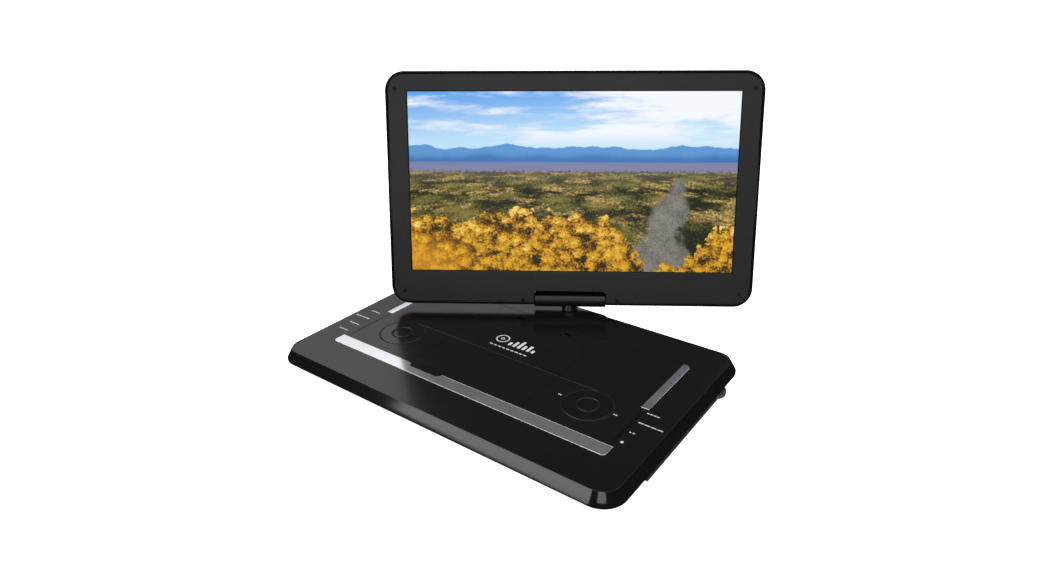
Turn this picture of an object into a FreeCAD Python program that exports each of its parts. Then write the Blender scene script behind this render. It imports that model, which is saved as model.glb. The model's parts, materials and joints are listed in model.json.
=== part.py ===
# Portable disc player: a flat base with a disc bay, and a screen lid on a swivel-and-tilt hinge.
# Millimetres. X runs to the right, Y to the back, Z up. Origin: middle of the base, on the table.
import FreeCAD, Part
import os
from math import cos, pi, sin

# ---- fits and clearances
RUN = 0.05                # radial clearance of a running fit
SEAM = 0.3                # gap between neighbouring skins
LOOSE = 0.2               # round a fixed piece in its opening
BUTTON_GAP = 0.15         # round a key in its opening
INLAY_GAP = 0.1           # round a glued-in window

# ---- base shell
BASE_W = 388.0            # across the lip
BASE_D = 254.0            # front to back at the lip
BASE_CORNER_R = 22.0      # plan radius of the lip's corners
DECK_H = 27.0             # top of the deck above the table
BEVEL_IN = 5.8            # plan width of the sloping edge
BEVEL_H = 10.2            # height of the sloping edge
LIP_H = 1.4               # upright band under the slope
BELLY_IN = 16.0           # how far the belly tapers in from the lip
SHELL_STEP = 1.5          # lower shell set back from the lip
WALL = 2.0                # lower shell wall
TOP_T = 2.4               # deck plate
TOP_RIM = 8.5             # solid rim of the upper shell, lip to cavity
POST_R = 4.0              # screw posts
SMALL_POST_R = 3.0        # posts under the board and the loader

# ---- feet and screws
FOOT_R = 8.0
FOOT_H = 1.5              # below the belly
FOOT_SUNK = 0.5           # set into the belly
FOOT_GAP = 0.1            # round each foot in its recess
FOOT_IN_X = 44.0          # from the lip to a foot's middle
FOOT_IN_Y = 35.0
SCREW_R = 1.3
SCREW_HEAD_R = 2.7
SCREW_HEAD_H = 1.2
SCREW_SUNK = 0.4          # head below the belly's face
SCREW_TIP = 2.0           # screw's end below the deck plate
CROSS_L = 3.2             # driver recess
CROSS_W = 0.5
CROSS_DEEP = 0.6
SCREW_IN_X = 34.0         # corner screws, from the lip
SCREW_IN_Y = 29.0
SIDE_SCREW_IN = 26.0      # extra screw by the battery
SIDE_SCREW_Y = 20.0
REAR_SCREW_X = 80.0       # extra screw by the hinge

# ---- deck inlay
PANEL_W = 304.0           # between the side trims
PANEL_FRONT = 68.0        # front edge ahead of the middle
PANEL_REAR = 78.0         # rear edge behind the middle
PANEL_T = 1.6
PANEL_STEP = 2.2          # the front part is wider by this on each side, up to the keys
STEP_GAP = 0.5            # from the side trims to that step
LEDGE = 3.0               # seat that the panel rests on
CREASE_Y = -7.0           # shallow groove across the deck
CREASE_W = 0.8
CREASE_DEEP = 0.25
CREASE_HALF = 113.0

# ---- bright trims
TRIM_T = 1.0              # set into the deck
TRIM_PROUD = 0.15
SIDE_TRIM_W = 8.0
SIDE_TRIM_FRONT = -6.5
SIDE_TRIM_REAR = 80.0
SIDE_TRIM_R = 5.0
FRONT_TRIM_W = 321.0
FRONT_TRIM_D = 14.5
FRONT_TRIM_R = 4.0
NOTCH_X = -44.0           # opener notch in the front trim
NOTCH_W = 38.0
NOTCH_D = 5.0
NOTCH_SLOPE = 3.0         # slanted ends of the notch

# ---- status window in the front left corner
STATUS_IN_X = 7.7         # from the lip
STATUS_IN_Y = 22.0
STATUS_W = 2.6
STATUS_D = 5.0
STATUS_T = 1.2
STATUS_PROUD = 0.1

# ---- disc bay and door
BAY_Y = -5.0              # turntable centre
BAY_R = 61.5
BAY_DEPTH = 9.6           # deck top to bay floor
BAY_HOLE_R = 5.0          # for the hub's stem
TRAY_T = 1.5
TRAY_PAST = 2.0           # tray beyond the panel, front and rear
TRAY_SIDE_PAST = 0.6
LENS_SLOT_PAST = 2.0      # slot beyond the lens, all round
DOOR_W = 132.0
DOOR_REAR = 58.0
DOOR_T = 1.4
DOOR_EDGE = 0.3           # upright part of the door's edge
DOOR_SLANT = 1.4          # how far the rest slants in
DOOR_REAR_R = 30.0
DOOR_FRONT_R = 3.0
DOOR_RIB_H = 0.8          # stiffening rim under the door
DOOR_RIB_W = 2.0
DOOR_RIB_IN = 5.0         # rim from the door's edge
DOOR_RIB_FRONT = 9.0
DOOR_RIB_R = 6.0
DOOR_AXIS_BACK = 4.0      # hinge axis behind the door's edge
KNUCKLE_R = 3.5
KNUCKLE_W = 8.0
KNUCKLE_X = 30.0
WEB_L = 6.0               # knuckle's web under the door
WEB_SUNK = 0.4
DOOR_PIN_R = 1.5
EAR_T = 4.0
EAR_FRONT = 5.0           # ears ahead of and behind the axis
EAR_REAR = 6.0
EAR_LOW = 4.5
OPENER_D = 9.4
OPENER_DEEP = 2.0         # below the deck plate
OPENER_PROUD = 0.3

# ---- loader
HUB_R = 14.0
HUB_TOP_BELOW = 7.4       # hub plate below the deck top
HUB_PLATE_T = 1.6
HUB_STEM_R = 3.0
HUB_STEM_GAP = 0.2        # stem's end above its socket's floor
BOSS_R = 7.3              # disc centring boss
BOSS_TAPER = 1.0
BOSS_H = 2.6
MOTOR_R = 12.0
MOTOR_H = 6.0
MOTOR_BASE = 1.0
FRAME_T = 1.5
FRAME_Z = 5.5
FRAME_LEFT = -20.0
FRAME_RIGHT = 80.0
FRAME_FRONT = 31.0        # frame's edges from the bay's centre
FRAME_REAR = 35.0
FRAME_POST_IN = 6.0
WINDOW_LEFT = 32.0        # cut-out under the sled
WINDOW_RIGHT = 64.0
WINDOW_HALF = 10.0
ROD_R = 1.5
ROD_Z = 11.0
ROD_LEFT = -2.0
ROD_LEN = 76.0
ROD_SPAN = 17.0           # each rod's distance from the lens line
SCREW_SPAN = 24.0         # lead screw's distance from the lens line
CHEEK_T = 2.0             # upright cheeks that hold the rods
CHEEK_HALF = 3.5
CHEEK_OVER = 3.0
ROD_TIP = 0.5             # lead screw past its cheeks
COLLAR_GAP = 0.3
COLLAR_L = 1.7
COLLAR_H = 1.2
SLED_MOTOR_L = 14.0
SLED_MOTOR_R = 4.0
SADDLE_L = 10.0
SADDLE_W = 6.0
LENS_R = 3.0
LENS_X = 24.0             # innermost lens position
LENS_ABOVE = 0.8          # lens shoulder above the bay floor
LENS_BULGE = 1.5          # dome radius over lens radius
LENS_SEAT = 1.0
SLED_TRAVEL = 32.0
SLED_L = 20.0
SLED_H = 5.0
SLED_PAST = 3.0           # sled beyond its rods

# ---- buttons
PAD_X = 113.0
PAD_Y = -31.0
PAD_R = 22.7
PAD_HOLE_R = 9.7          # middle of a ring
PAD_MIDDLE_GAP = 0.35     # round the middle button
PAD_PROUD = 0.3
PAD_MIDDLE_PROUD = 0.1
PAD_DISH_W = 1.2          # shallow dish round the middle button
PAD_DISH_DEEP = 0.5
PAD_FLANGE = 2.3
PAD_FLANGE_T = 1.2
PAD_WELL_GAP = 1.4        # round the flange in its well
PAD_WELL_DEEP = 5.2       # below the deck plate
PAD_BOARD_GAP = 0.4
PAD_TRAVEL = 0.6
PAD_REST_GAP = 0.2        # left under a pressed pad
KEY_FROM_TRIM = 4.0       # key row from the panel's edge
KEY_W = 3.2
KEY_L = 14.2
KEY_PITCH = 15.0
KEY_FIRST_Y = -15.2
KEY_PROUD = 0.3
KEY_REST_GAP = 0.1
KEY_FLANGE = 1.5
KEY_FLANGE_T = 1.0
KEY_FLANGE_GAP = 0.2
KEY_NAMES = ("one", "two", "three", "four")
KEY_BOARD_BELOW = 3.0     # board top under the deck plate
KEY_BOARD_T = 1.2
KEY_BOARD_IN = 6.0
KEY_BOARD_OUT = 9.0
KEY_BOARD_PAST = 2.0
RIB_FROM_KEY = 5.0
RIB_T = 2.0

# ---- swivel and tilt hinge
SWIVEL_IN = 12.8          # swivel axis ahead of the rear lip
SWIVEL_DEG = 33.38        # as modelled, from straight ahead
PLATFORM_HALF = 41.0      # the rear bevel is filled up under the hinge
PLATFORM_EDGE = 4.0
PLATFORM_IN = 12.0
SHAFT_R = 6.0
SHAFT_BORE_R = 3.5
SHAFT_SOCKET = 6.0        # shaft's depth in the barrel
SHAFT_PAST = 0.5          # shaft's end below the nut
AXIS_ABOVE_DECK = 11.5    # tilt axis
BARREL_R = 8.0
BARREL_L = 77.0
HINGE_PIN_R = 3.0
PIN_DEEP = 12.5           # pin's depth in the barrel
PIN_END_GAP = 1.0
NECK_R = 9.0
NECK_TOP_R = 6.5
NECK_H = 7.0
TURRET_GAP = 0.2
NUT_H = 2.8
NUT_R = 8.5
NUT_ROOM_H = 5.6          # room for nut and washer above the split
NUT_ROOM_GAP = 0.8
WASHER_T = 0.6
WASHER_GAP = 0.1
SWIVEL_BOSS_T = 1.0

# ---- lid
LID_W = 388.3
LID_H = 244.8
LID_T = 15.0
LID_FRONT = 10.0          # front face ahead of the tilt axis
LID_BELOW = 4.0           # lower edge below the tilt axis
LID_OPEN_DEG = 103.65     # as modelled, from closed
LID_R = 20.0
LID_RIM = 3.0
LID_ROOM_IN = 2.0         # cavity floor in from the rim
LID_BACK_T = 2.0
LID_BACK_BEVEL = 4.0
NOTCH_SIDE_GAP = 0.4      # barrel's ends in the lid's notch
NOTCH_TOP_GAP = 3.0       # barrel's top in the open front of the lid's notch
NOTCH_LIP_GAP = 0.6       # barrel's top under the lip that closes the notch at the back
NOTCH_LIP_FRONT = 3.0     # lip's face ahead of the tilt axis
NOTCH_WALL = 3.0
BEZEL_T = 2.1
BEZEL_SUNK = 0.3
BEZEL_POST_R = 3.2
PICTURE_W = 344.2
PICTURE_H = 188.9
PICTURE_LOW = 36.3        # lower picture edge above the lid's lower edge
GLASS_BORDER = 4.0
GLASS_T = 2.0
BACKLIGHT_T = 4.6
BACKLIGHT_BORDER = 6.0
LID_RIB_COUNT = 4
LID_RIB_PITCH = 80.0
LID_RIB_T = 2.0
LID_RIB_LOW = 44.0        # ribs from the lid's lower and upper edges
LID_RIB_HIGH = 30.0
LID_SCREW_IN = 9.5        # side screws, from the lid's edges
LID_SCREW_UP = 56.0
LID_SCREW_DOWN = 44.8
LOW_SCREW_X = 100.0       # screws beside the hinge
LOW_SCREW_Y = 12.0
LID_SCREW_SUNK = 0.1
LID_SCREW_TIP = 1.0
BUMPER_R = 2.0
BUMPER_H = 1.0
BUMPER_TOP_IN = 10.0      # upper pair, from the lid's edges
BUMPER_TOP_DOWN = 17.3
BUMPER_LOW_IN = 14.0      # lower pair
BUMPER_LOW_UP = 14.0
BUMPER_MID_OUT = 12.0     # pair beside the notch
BUMPER_MID_UP = 5.4
DRIVER_W = 180.0
DRIVER_GAP = 1.0          # from the notch wall and the backlight
DRIVER_CHIPS = 3
DRIVER_CHIP_W = 12.0
DRIVER_CHIP_D = 6.0
DRIVER_CHIP_H = 2.0
DRIVER_CHIP_X = -60.0
DRIVER_CHIP_PITCH = 45.0
BRACKET_T = 2.0
BRACKET_IN = 2.0          # bracket from the lid's rim
BRACKET_TOP = 9.0
BRACKET_FRONT = 6.0
BRACKET_FOOT_L = 40.0
BRACKET_FOOT_TOP = 8.0
BRACKET_FOOT_T = 1.8

# ---- main board and right-hand connectors
BLOCK_LIP = 4.5           # connector wall inside the lip
BLOCK_FRONT = -62.0
BLOCK_REAR = 92.0
BLOCK_IN = 28.0
NOSE_PROUD = 0.2          # socket noses past the wall
BODY_GAP = 0.1            # socket bodies behind the wall
BOARD_LEFT = 88.0
BOARD_Z = 6.0
BOARD_T = 1.6
BOARD_GAP = 0.8           # behind the connector wall
BOARD_EDGE_GAP = 1.0
BOARD_POST_IN = 9.0
CHIP_SIZES = (18.0, 14.0, 9.0)
CHIP_H = 1.6
CHIP_IN = 32.0
CHIP_Y = -20.0
CHIP_PITCH = 34.0
CAN_COUNT = 3             # capacitors
CAN_R = 4.0
CAN_H = 6.0
CAN_IN = 16.0
CAN_Y = 50.0
CAN_PITCH = 12.0
USB_Y = 47.0
USB_W = 13.2
USB_H = 6.2
USB_L = 16.0              # body behind the wall
USB_SKIN = 0.5
USB_BACK = 3.0
TONGUE_W = 11.0
TONGUE_LOW = 2.9
TONGUE_T = 1.8
TONGUE_IN = 2.0
CARD_Y = -26.0
CARD_W = 27.0
CARD_H = 3.4
CARD_L = 30.0
CARD_SLOT_W = 24.2
CARD_SLOT_H = 2.3
CARD_BACK = 4.0
JACK_BODY = 6.4
JACK_L = 15.0
JACK_BODY_L = 13.0
JACK_NOSE_R = 2.9
JACK_R = 1.8
NOSE_ROOT = 1.0           # noses start behind the wall
AV_Y = 11.0
PHONES_Y = 26.0
DC_Y = -5.0
DC_BODY = 8.0
DC_BODY_H = 6.8
DC_Z = 3.4                # plug axis above the board
DC_R = 2.8
DC_WALL = 1.0
DC_ROOT = 0.7
DC_DEEP = 11.0            # plug depth
DC_PIN_R = 0.9
DC_PIN_BACK = 0.5
DC_PIN_IN = 1.5
POWER_Y = -51.0
SWITCH_W = 12.0
SWITCH_H = 6.0
SWITCH_L = 9.0
SWITCH_GAP = 0.2
SWITCH_END = 5.0          # housing ahead of the knob at rest
SWITCH_ROOM = 5.0
KNOB_ROOT = 4.5
KNOB_W = 4.6
KNOB_H = 2.6
KNOB_PROUD = 1.4
KNOB_TRAVEL = 4.0
KNOB_GAP = 0.3
KNOB_GROOVES = 3
KNOB_GROOVE_W = 0.6
KNOB_GROOVE_PITCH = 1.2
KNOB_GROOVE_DEEP = 0.5
WHEEL_IN = 5.0            # wheel's centre behind the connector wall
WHEEL_Y = 78.0
WHEEL_R = 12.0
WHEEL_H = 3.6
WHEEL_LIFT = 1.0          # above the board
WHEEL_POST_R = 2.0
WHEEL_POST_BELOW = 0.6
WHEEL_GROOVES = 24
WHEEL_GROOVE_R = 0.55
WHEEL_GROOVE_OUT = 0.2
WHEEL_GAP = 0.6           # in the wall's slot
WHEEL_FACE_GAP = 0.4
WHEEL_SLOT_IN = 4.0
POT_R = 5.0
POT_BACK = 3.0
POT_GAP = 0.5

# ---- battery and speakers
BATTERY_X = -113.0
BATTERY_Y = 2.0
BATTERY_W = 74.0
BATTERY_D = 116.0
BATTERY_H = 11.0
BATTERY_R = 2.0
PLUG_L = 4.0
PLUG_W = 12.0
PLUG_H = 5.0
PLUG_Z = 3.0
PLUG_Y = 26.0
SPEAKER_X = 118.0
SPEAKER_IN = 33.0         # from the front lip
SPEAKER_L = 44.0
SPEAKER_D = 20.0
SPEAKER_H = 8.0
CONE_IN = 2.0
CONE_H = 3.0
SLOT_COUNT = 7
SLOT_W = 2.0
SLOT_L = 14.0
SLOT_PITCH = 5.0
ROUND_LESS = 0.01         # keeps a full-round end's two arcs apart

# ---- levels and edges that follow from the sizes
HALF_W = BASE_W / 2
HALF_D = BASE_D / 2
CASE_SPLIT = DECK_H - BEVEL_H - LIP_H
PLATE_UNDER = DECK_H - TOP_T
PANEL_UNDER = DECK_H - PANEL_T
TRIM_UNDER = DECK_H - TRIM_T
TRIM_TOP = DECK_H + TRIM_PROUD
BELLY_Z = FOOT_H
FLOOR_Z = BELLY_Z + WALL
STEP_Y = SIDE_TRIM_FRONT - SEAM - STEP_GAP

BAY_FLOOR = DECK_H - BAY_DEPTH
TRAY_UNDER = PLATE_UNDER - TRAY_T
TRAY_HALF = PANEL_W / 2 + TRAY_SIDE_PAST
TRAY_FRONT = -PANEL_FRONT - TRAY_PAST
TRAY_REAR = PANEL_REAR + TRAY_PAST
DOOR_UNDER = DECK_H - DOOR_T
DOOR_AXIS_Y = DOOR_REAR + DOOR_AXIS_BACK
DOOR_AXIS_Z = DECK_H - KNUCKLE_R
EAR_UNDER = DOOR_AXIS_Z - EAR_LOW
HUB_TOP = DECK_H - HUB_TOP_BELOW
FRAME_TOP = FRAME_Z + FRAME_T
SCREW_ROW_Y = BAY_Y + SCREW_SPAN
ROD_RIGHT = ROD_LEFT + ROD_LEN
SLED_TOP = ROD_Z + SLED_H / 2
LENS_SHOULDER = BAY_FLOOR + LENS_ABOVE

PAD_WELL_FLOOR = PLATE_UNDER - PAD_WELL_DEEP
PAD_WELL_R = PAD_R + PAD_FLANGE + PAD_WELL_GAP
PAD_BOARD_TOP = PAD_WELL_FLOOR + KEY_BOARD_T
PAD_LOW = PAD_BOARD_TOP + PAD_TRAVEL + PAD_REST_GAP
KEY_X = PANEL_W / 2 + KEY_FROM_TRIM
KEY_BOARD_TOP = PLATE_UNDER - KEY_BOARD_BELOW
KEYS_FRONT = KEY_FIRST_Y - (len(KEY_NAMES) - 1) * KEY_PITCH - KEY_L / 2
KEYS_REAR = KEY_FIRST_Y + KEY_L / 2

SWIVEL_Y = HALF_D - SWIVEL_IN
HINGE_Z = DECK_H + AXIS_ABOVE_DECK
WASHER_SEAT = CASE_SPLIT + NUT_ROOM_H
WASHER_TOP = WASHER_SEAT - WASHER_GAP
NUT_TOP = WASHER_TOP - WASHER_T
BARREL_LOW = TURRET_GAP - AXIS_ABOVE_DECK

# the lid is drawn flat, from the tilt axis: X along the hinge, Y up the lid, Z to the viewer
LID_LOW = -LID_BELOW
LID_TOP = LID_LOW + LID_H
LID_BACK = LID_FRONT - LID_T
LID_FLOOR = LID_BACK + LID_BACK_T
LID_EDGE = LID_BACK + LID_BACK_BEVEL
BEZEL_FACE = LID_FRONT - BEZEL_SUNK
BEZEL_UNDER = BEZEL_FACE - BEZEL_T
NOTCH_HALF = BARREL_L / 2 + NOTCH_SIDE_GAP
NOTCH_UP = BARREL_R + NOTCH_TOP_GAP
NOTCH_LIP_UP = BARREL_R + NOTCH_LIP_GAP
NOTCH_KEEP = NOTCH_HALF + NOTCH_WALL
PICTURE_BOTTOM = LID_LOW + PICTURE_LOW
GLASS_UNDER = BEZEL_UNDER - GLASS_T
BACKLIGHT_UNDER = GLASS_UNDER - BACKLIGHT_T

BLOCK_X = HALF_W - BLOCK_LIP
INNER_X = BLOCK_X - WALL
NOSE_X = BLOCK_X + NOSE_PROUD
BOARD_TOP = BOARD_Z + BOARD_T
BOARD_RIGHT = INNER_X - BOARD_GAP
BOARD_FRONT = BLOCK_FRONT + WALL + BOARD_EDGE_GAP
BOARD_REAR = BLOCK_REAR - WALL - BOARD_EDGE_GAP
CARD_Z = BOARD_TOP + CARD_H / 2
JACK_Z = BOARD_TOP + JACK_BODY / 2
SWITCH_Z = BOARD_TOP + SWITCH_H / 2
DC_AXIS_Z = BOARD_TOP + DC_Z
WHEEL_X = BLOCK_X - WHEEL_IN
WHEEL_Z = BOARD_TOP + WHEEL_LIFT

V = FreeCAD.Vector
X_AXIS = V(1, 0, 0)
Z_AXIS = V(0, 0, 1)
SIDES = (-1, 1)


# ---- basic shapes
def box(x0, x1, y0, y1, z0, z1):
    return Part.makeBox(x1 - x0, y1 - y0, z1 - z0, V(x0, y0, z0))


def block(x, y, w, d, z0, z1):
    """Box standing on z0, centred on x and y."""
    return box(x - w / 2, x + w / 2, y - d / 2, y + d / 2, z0, z1)


def drum(x, y, z0, z1, r):
    return Part.makeCylinder(r, z1 - z0, V(x, y, z0), Z_AXIS)


def rod_x(x0, x1, y, z, r):
    return Part.makeCylinder(r, x1 - x0, V(x0, y, z), X_AXIS)


def ring(x, y, z0, z1, r_out, r_in):
    return drum(x, y, z0, z1, r_out).cut(drum(x, y, z0, z1, r_in))


def outline(x0, x1, y0, y1, z, radii):
    """Closed outline with corner radii in the order front left, front right, rear right, rear left."""
    front_left, front_right, rear_right, rear_left = radii
    corners = (
        (x0, y0, 1, 1, front_left, pi),
        (x1, y0, -1, 1, front_right, 1.5 * pi),
        (x1, y1, -1, -1, rear_right, 0),
        (x0, y1, 1, -1, rear_left, 0.5 * pi),
    )
    edges = []
    starts = []
    ends = []
    for x, y, in_x, in_y, r, angle in corners:
        if r > 0:
            circle = Part.Circle(V(x + in_x * r, y + in_y * r, z), Z_AXIS, r)
            arc = Part.ArcOfCircle(circle, angle, angle + 0.5 * pi).toShape()
            edges.append(arc)
            starts.append(arc.valueAt(arc.FirstParameter))
            ends.append(arc.valueAt(arc.LastParameter))
        else:
            starts.append(V(x, y, z))
            ends.append(V(x, y, z))
    for end, start in zip(ends, starts[1:] + starts[:1]):
        edges.append(Part.makeLine(end, start))
    return Part.Wire(Part.__sortEdges__(edges))


def slab(x0, x1, y0, y1, z0, z1, radii):
    """Plate with rounded corners; radii is one radius or four."""
    if isinstance(radii, (int, float)):
        radii = (radii,) * 4
    face = Part.Face(outline(x0, x1, y0, y1, z0, radii))
    return face.extrude(V(0, 0, z1 - z0))


def centred(half_w, half_d, z, r):
    return outline(-half_w, half_w, -half_d, half_d, z, (r,) * 4)


def tapered(half_w, half_d, r, inset, z_wide, z_narrow):
    """Solid between a rounded outline at z_wide and the same outline drawn in by inset at z_narrow."""
    wide = centred(half_w, half_d, z_wide, r)
    narrow = centred(half_w - inset, half_d - inset, z_narrow, r - inset)
    return Part.makeLoft([wide, narrow], True, True)


def prism_x(points, x0, x1):
    """Extrude a (y, z) polygon along X."""
    wire = Part.makePolygon([V(x0, y, z) for y, z in points + points[:1]])
    return Part.Face(wire).extrude(V(x1 - x0, 0, 0))


def prism_z(points, z0, z1):
    """Extrude an (x, y) polygon along Z."""
    wire = Part.makePolygon([V(x, y, z0) for x, y in points + points[:1]])
    return Part.Face(wire).extrude(V(0, 0, z1 - z0))


def joined(first, *others):
    return first.fuse(list(others)).removeSplitter()


def cut_all(shape, tools):
    return shape.cut(list(tools)).removeSplitter()


def mirrored(shape):
    return shape.mirror(V(0, 0, 0), X_AXIS)


def group(solids):
    return Part.makeCompound(list(solids))


def side_box(side, x0, x1, y0, y1, z0, z1):
    """Box drawn for the right-hand side, or its mirror image on the left."""
    near, far = sorted((side * x0, side * x1))
    return box(near, far, y0, y1, z0, z1)


def cross_slot(x, y, z0, z1):
    return [block(x, y, CROSS_L, CROSS_W, z0, z1), block(x, y, CROSS_W, CROSS_L, z0, z1)]


# ---- places that several pieces share
def base_screw_spots():
    x = HALF_W - SCREW_IN_X
    y = HALF_D - SCREW_IN_Y
    corners = [(sx * x, sy * y) for sx in SIDES for sy in SIDES]
    return corners + [(SIDE_SCREW_IN - HALF_W, SIDE_SCREW_Y), (REAR_SCREW_X, y)]


def foot_spots():
    return [(sx * (HALF_W - FOOT_IN_X), sy * (HALF_D - FOOT_IN_Y)) for sx in SIDES for sy in SIDES]


def speaker_spots():
    return [(side * SPEAKER_X, SPEAKER_IN - HALF_D) for side in SIDES]


def board_posts():
    xs = (BOARD_LEFT + BOARD_POST_IN, BOARD_RIGHT - BOARD_POST_IN)
    ys = (BOARD_FRONT + BOARD_POST_IN, BOARD_REAR - BOARD_POST_IN)
    return [(x, y) for x in xs for y in ys]


def frame_posts():
    xs = (FRAME_LEFT + FRAME_POST_IN, FRAME_RIGHT - FRAME_POST_IN)
    ys = (BAY_Y - FRAME_FRONT + FRAME_POST_IN, BAY_Y + FRAME_REAR - FRAME_POST_IN)
    return [(x, y) for x in xs for y in ys]


def lid_screw_spots():
    x = LID_W / 2 - LID_SCREW_IN
    beside = [(side * x, y) for side in SIDES for y in (LID_LOW + LID_SCREW_UP, LID_TOP - LID_SCREW_DOWN)]
    return beside + [(side * LOW_SCREW_X, LOW_SCREW_Y) for side in SIDES]


def bumper_spots():
    spots = []
    for side in SIDES:
        spots.append((side * (LID_W / 2 - BUMPER_TOP_IN), LID_TOP - BUMPER_TOP_DOWN))
        spots.append((side * (LID_W / 2 - BUMPER_LOW_IN), LID_LOW + BUMPER_LOW_UP))
        spots.append((side * (NOTCH_HALF + BUMPER_MID_OUT), LID_LOW + BUMPER_MID_UP))
    return spots


def key_y(i):
    return KEY_FIRST_Y - i * KEY_PITCH


# ---- blanks: a piece with grow 0, or the opening it sits in with its clearance as grow
def key_blank(side, i, grow, z0, z1):
    return block(side * KEY_X, key_y(i), KEY_W + 2 * grow, KEY_L + 2 * grow, z0, z1)


def status_blank(grow, z1):
    x = STATUS_IN_X - HALF_W
    y = STATUS_IN_Y - HALF_D
    return block(x, y, STATUS_W + 2 * grow, STATUS_D + 2 * grow, DECK_H - STATUS_T, z1)


def panel_blank(grow, z0, z1):
    """The inlay's outline: a wide front part beside the keys and a narrower rear part beside the trims."""
    narrow = PANEL_W / 2 + grow
    wide = narrow + PANEL_STEP
    rear = box(-narrow, narrow, STEP_Y, PANEL_REAR + grow, z0, z1)
    front = box(-wide, wide, -PANEL_FRONT - grow, STEP_Y + grow, z0, z1)
    return joined(rear, front)


def front_trim_blank(grow, z0, z1):
    half = FRONT_TRIM_W / 2 + grow
    rear = -PANEL_FRONT - SEAM + grow
    front = rear - FRONT_TRIM_D - 2 * grow
    return slab(-half, half, front, rear, z0, z1, (FRONT_TRIM_R, FRONT_TRIM_R, 0, 0))


def side_trim_blank(grow, z0, z1):
    x0 = PANEL_W / 2 + SEAM - grow
    x1 = x0 + SIDE_TRIM_W + 2 * grow
    return slab(x0, x1, SIDE_TRIM_FRONT - grow, SIDE_TRIM_REAR + grow, z0, z1, (0, 0, SIDE_TRIM_R, 0))


def door_blank(grow, z0, z1, front):
    half = DOOR_W / 2 + grow
    radii = (DOOR_FRONT_R, DOOR_FRONT_R, DOOR_REAR_R + grow, DOOR_REAR_R + grow)
    return slab(-half, half, front, DOOR_REAR + grow, z0, z1, radii)


def notch_outline(grow, y_front, y_rear):
    """Plan polygon of the opener notch, slanted at its front end."""
    x0 = NOTCH_X - NOTCH_W / 2 - grow
    x1 = NOTCH_X + NOTCH_W / 2 + grow
    return [(x0, y_rear), (x0, y_front + NOTCH_SLOPE), (x0 + NOTCH_SLOPE, y_front),
            (x1 - NOTCH_SLOPE, y_front), (x1, y_front + NOTCH_SLOPE), (x1, y_rear)]


def opener_blank(grow, z0, z1):
    front = -PANEL_FRONT - NOTCH_D - grow
    rear = front + OPENER_D + 2 * grow
    return prism_z(notch_outline(grow - SEAM, front, rear), z0, z1)


# ---- base shells
def top_cover():
    slope = tapered(HALF_W, HALF_D, BASE_CORNER_R, BEVEL_IN, DECK_H - BEVEL_H, DECK_H)
    lip = slab(-HALF_W, HALF_W, -HALF_D, HALF_D, CASE_SPLIT, DECK_H - BEVEL_H, BASE_CORNER_R)
    platform_front = HALF_D - PLATFORM_IN
    section = [(platform_front, CASE_SPLIT), (HALF_D, CASE_SPLIT), (HALF_D, DECK_H - BEVEL_H),
               (HALF_D - PLATFORM_EDGE, DECK_H), (platform_front, DECK_H)]
    body = joined(slope, lip, prism_x(section, -PLATFORM_HALF, PLATFORM_HALF))
    body = body.cut(slab(-HALF_W + TOP_RIM, HALF_W - TOP_RIM, -HALF_D + TOP_RIM, HALF_D - TOP_RIM,
                         CASE_SPLIT, PLATE_UNDER, BASE_CORNER_R - TOP_RIM))
    body = joined(body, drum(0, SWIVEL_Y, WASHER_SEAT, DECK_H, NUT_R + SWIVEL_BOSS_T))
    cuts = [
        drum(0, SWIVEL_Y, CASE_SPLIT, WASHER_SEAT, NUT_R + NUT_ROOM_GAP),
        drum(0, SWIVEL_Y, CASE_SPLIT, DECK_H, SHAFT_R + RUN),
        box(-PANEL_W / 2 + LEDGE, PANEL_W / 2 - LEDGE, -PANEL_FRONT + LEDGE, PANEL_REAR - LEDGE,
            PLATE_UNDER, DECK_H),
        panel_blank(SEAM, PANEL_UNDER, DECK_H),
        front_trim_blank(SEAM / 2, TRIM_UNDER, DECK_H),
        side_trim_blank(SEAM / 2, TRIM_UNDER, DECK_H),
        mirrored(side_trim_blank(SEAM / 2, TRIM_UNDER, DECK_H)),
        opener_blank(SEAM, PLATE_UNDER, DECK_H),
        status_blank(INLAY_GAP, DECK_H),
    ]
    for side in SIDES:
        for i in range(len(KEY_NAMES)):
            cuts.append(key_blank(side, i, BUTTON_GAP, PLATE_UNDER, DECK_H))
    body = cut_all(body, cuts)
    added = [ring(x, y, CASE_SPLIT, PLATE_UNDER, POST_R, SCREW_R + RUN) for x, y in base_screw_spots()]
    for side in SIDES:
        rib_x = KEY_X + RIB_FROM_KEY
        added.append(side_box(side, rib_x, rib_x + RIB_T, KEYS_FRONT, KEYS_REAR, KEY_BOARD_TOP, PLATE_UNDER))
    return joined(body, *added)


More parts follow.
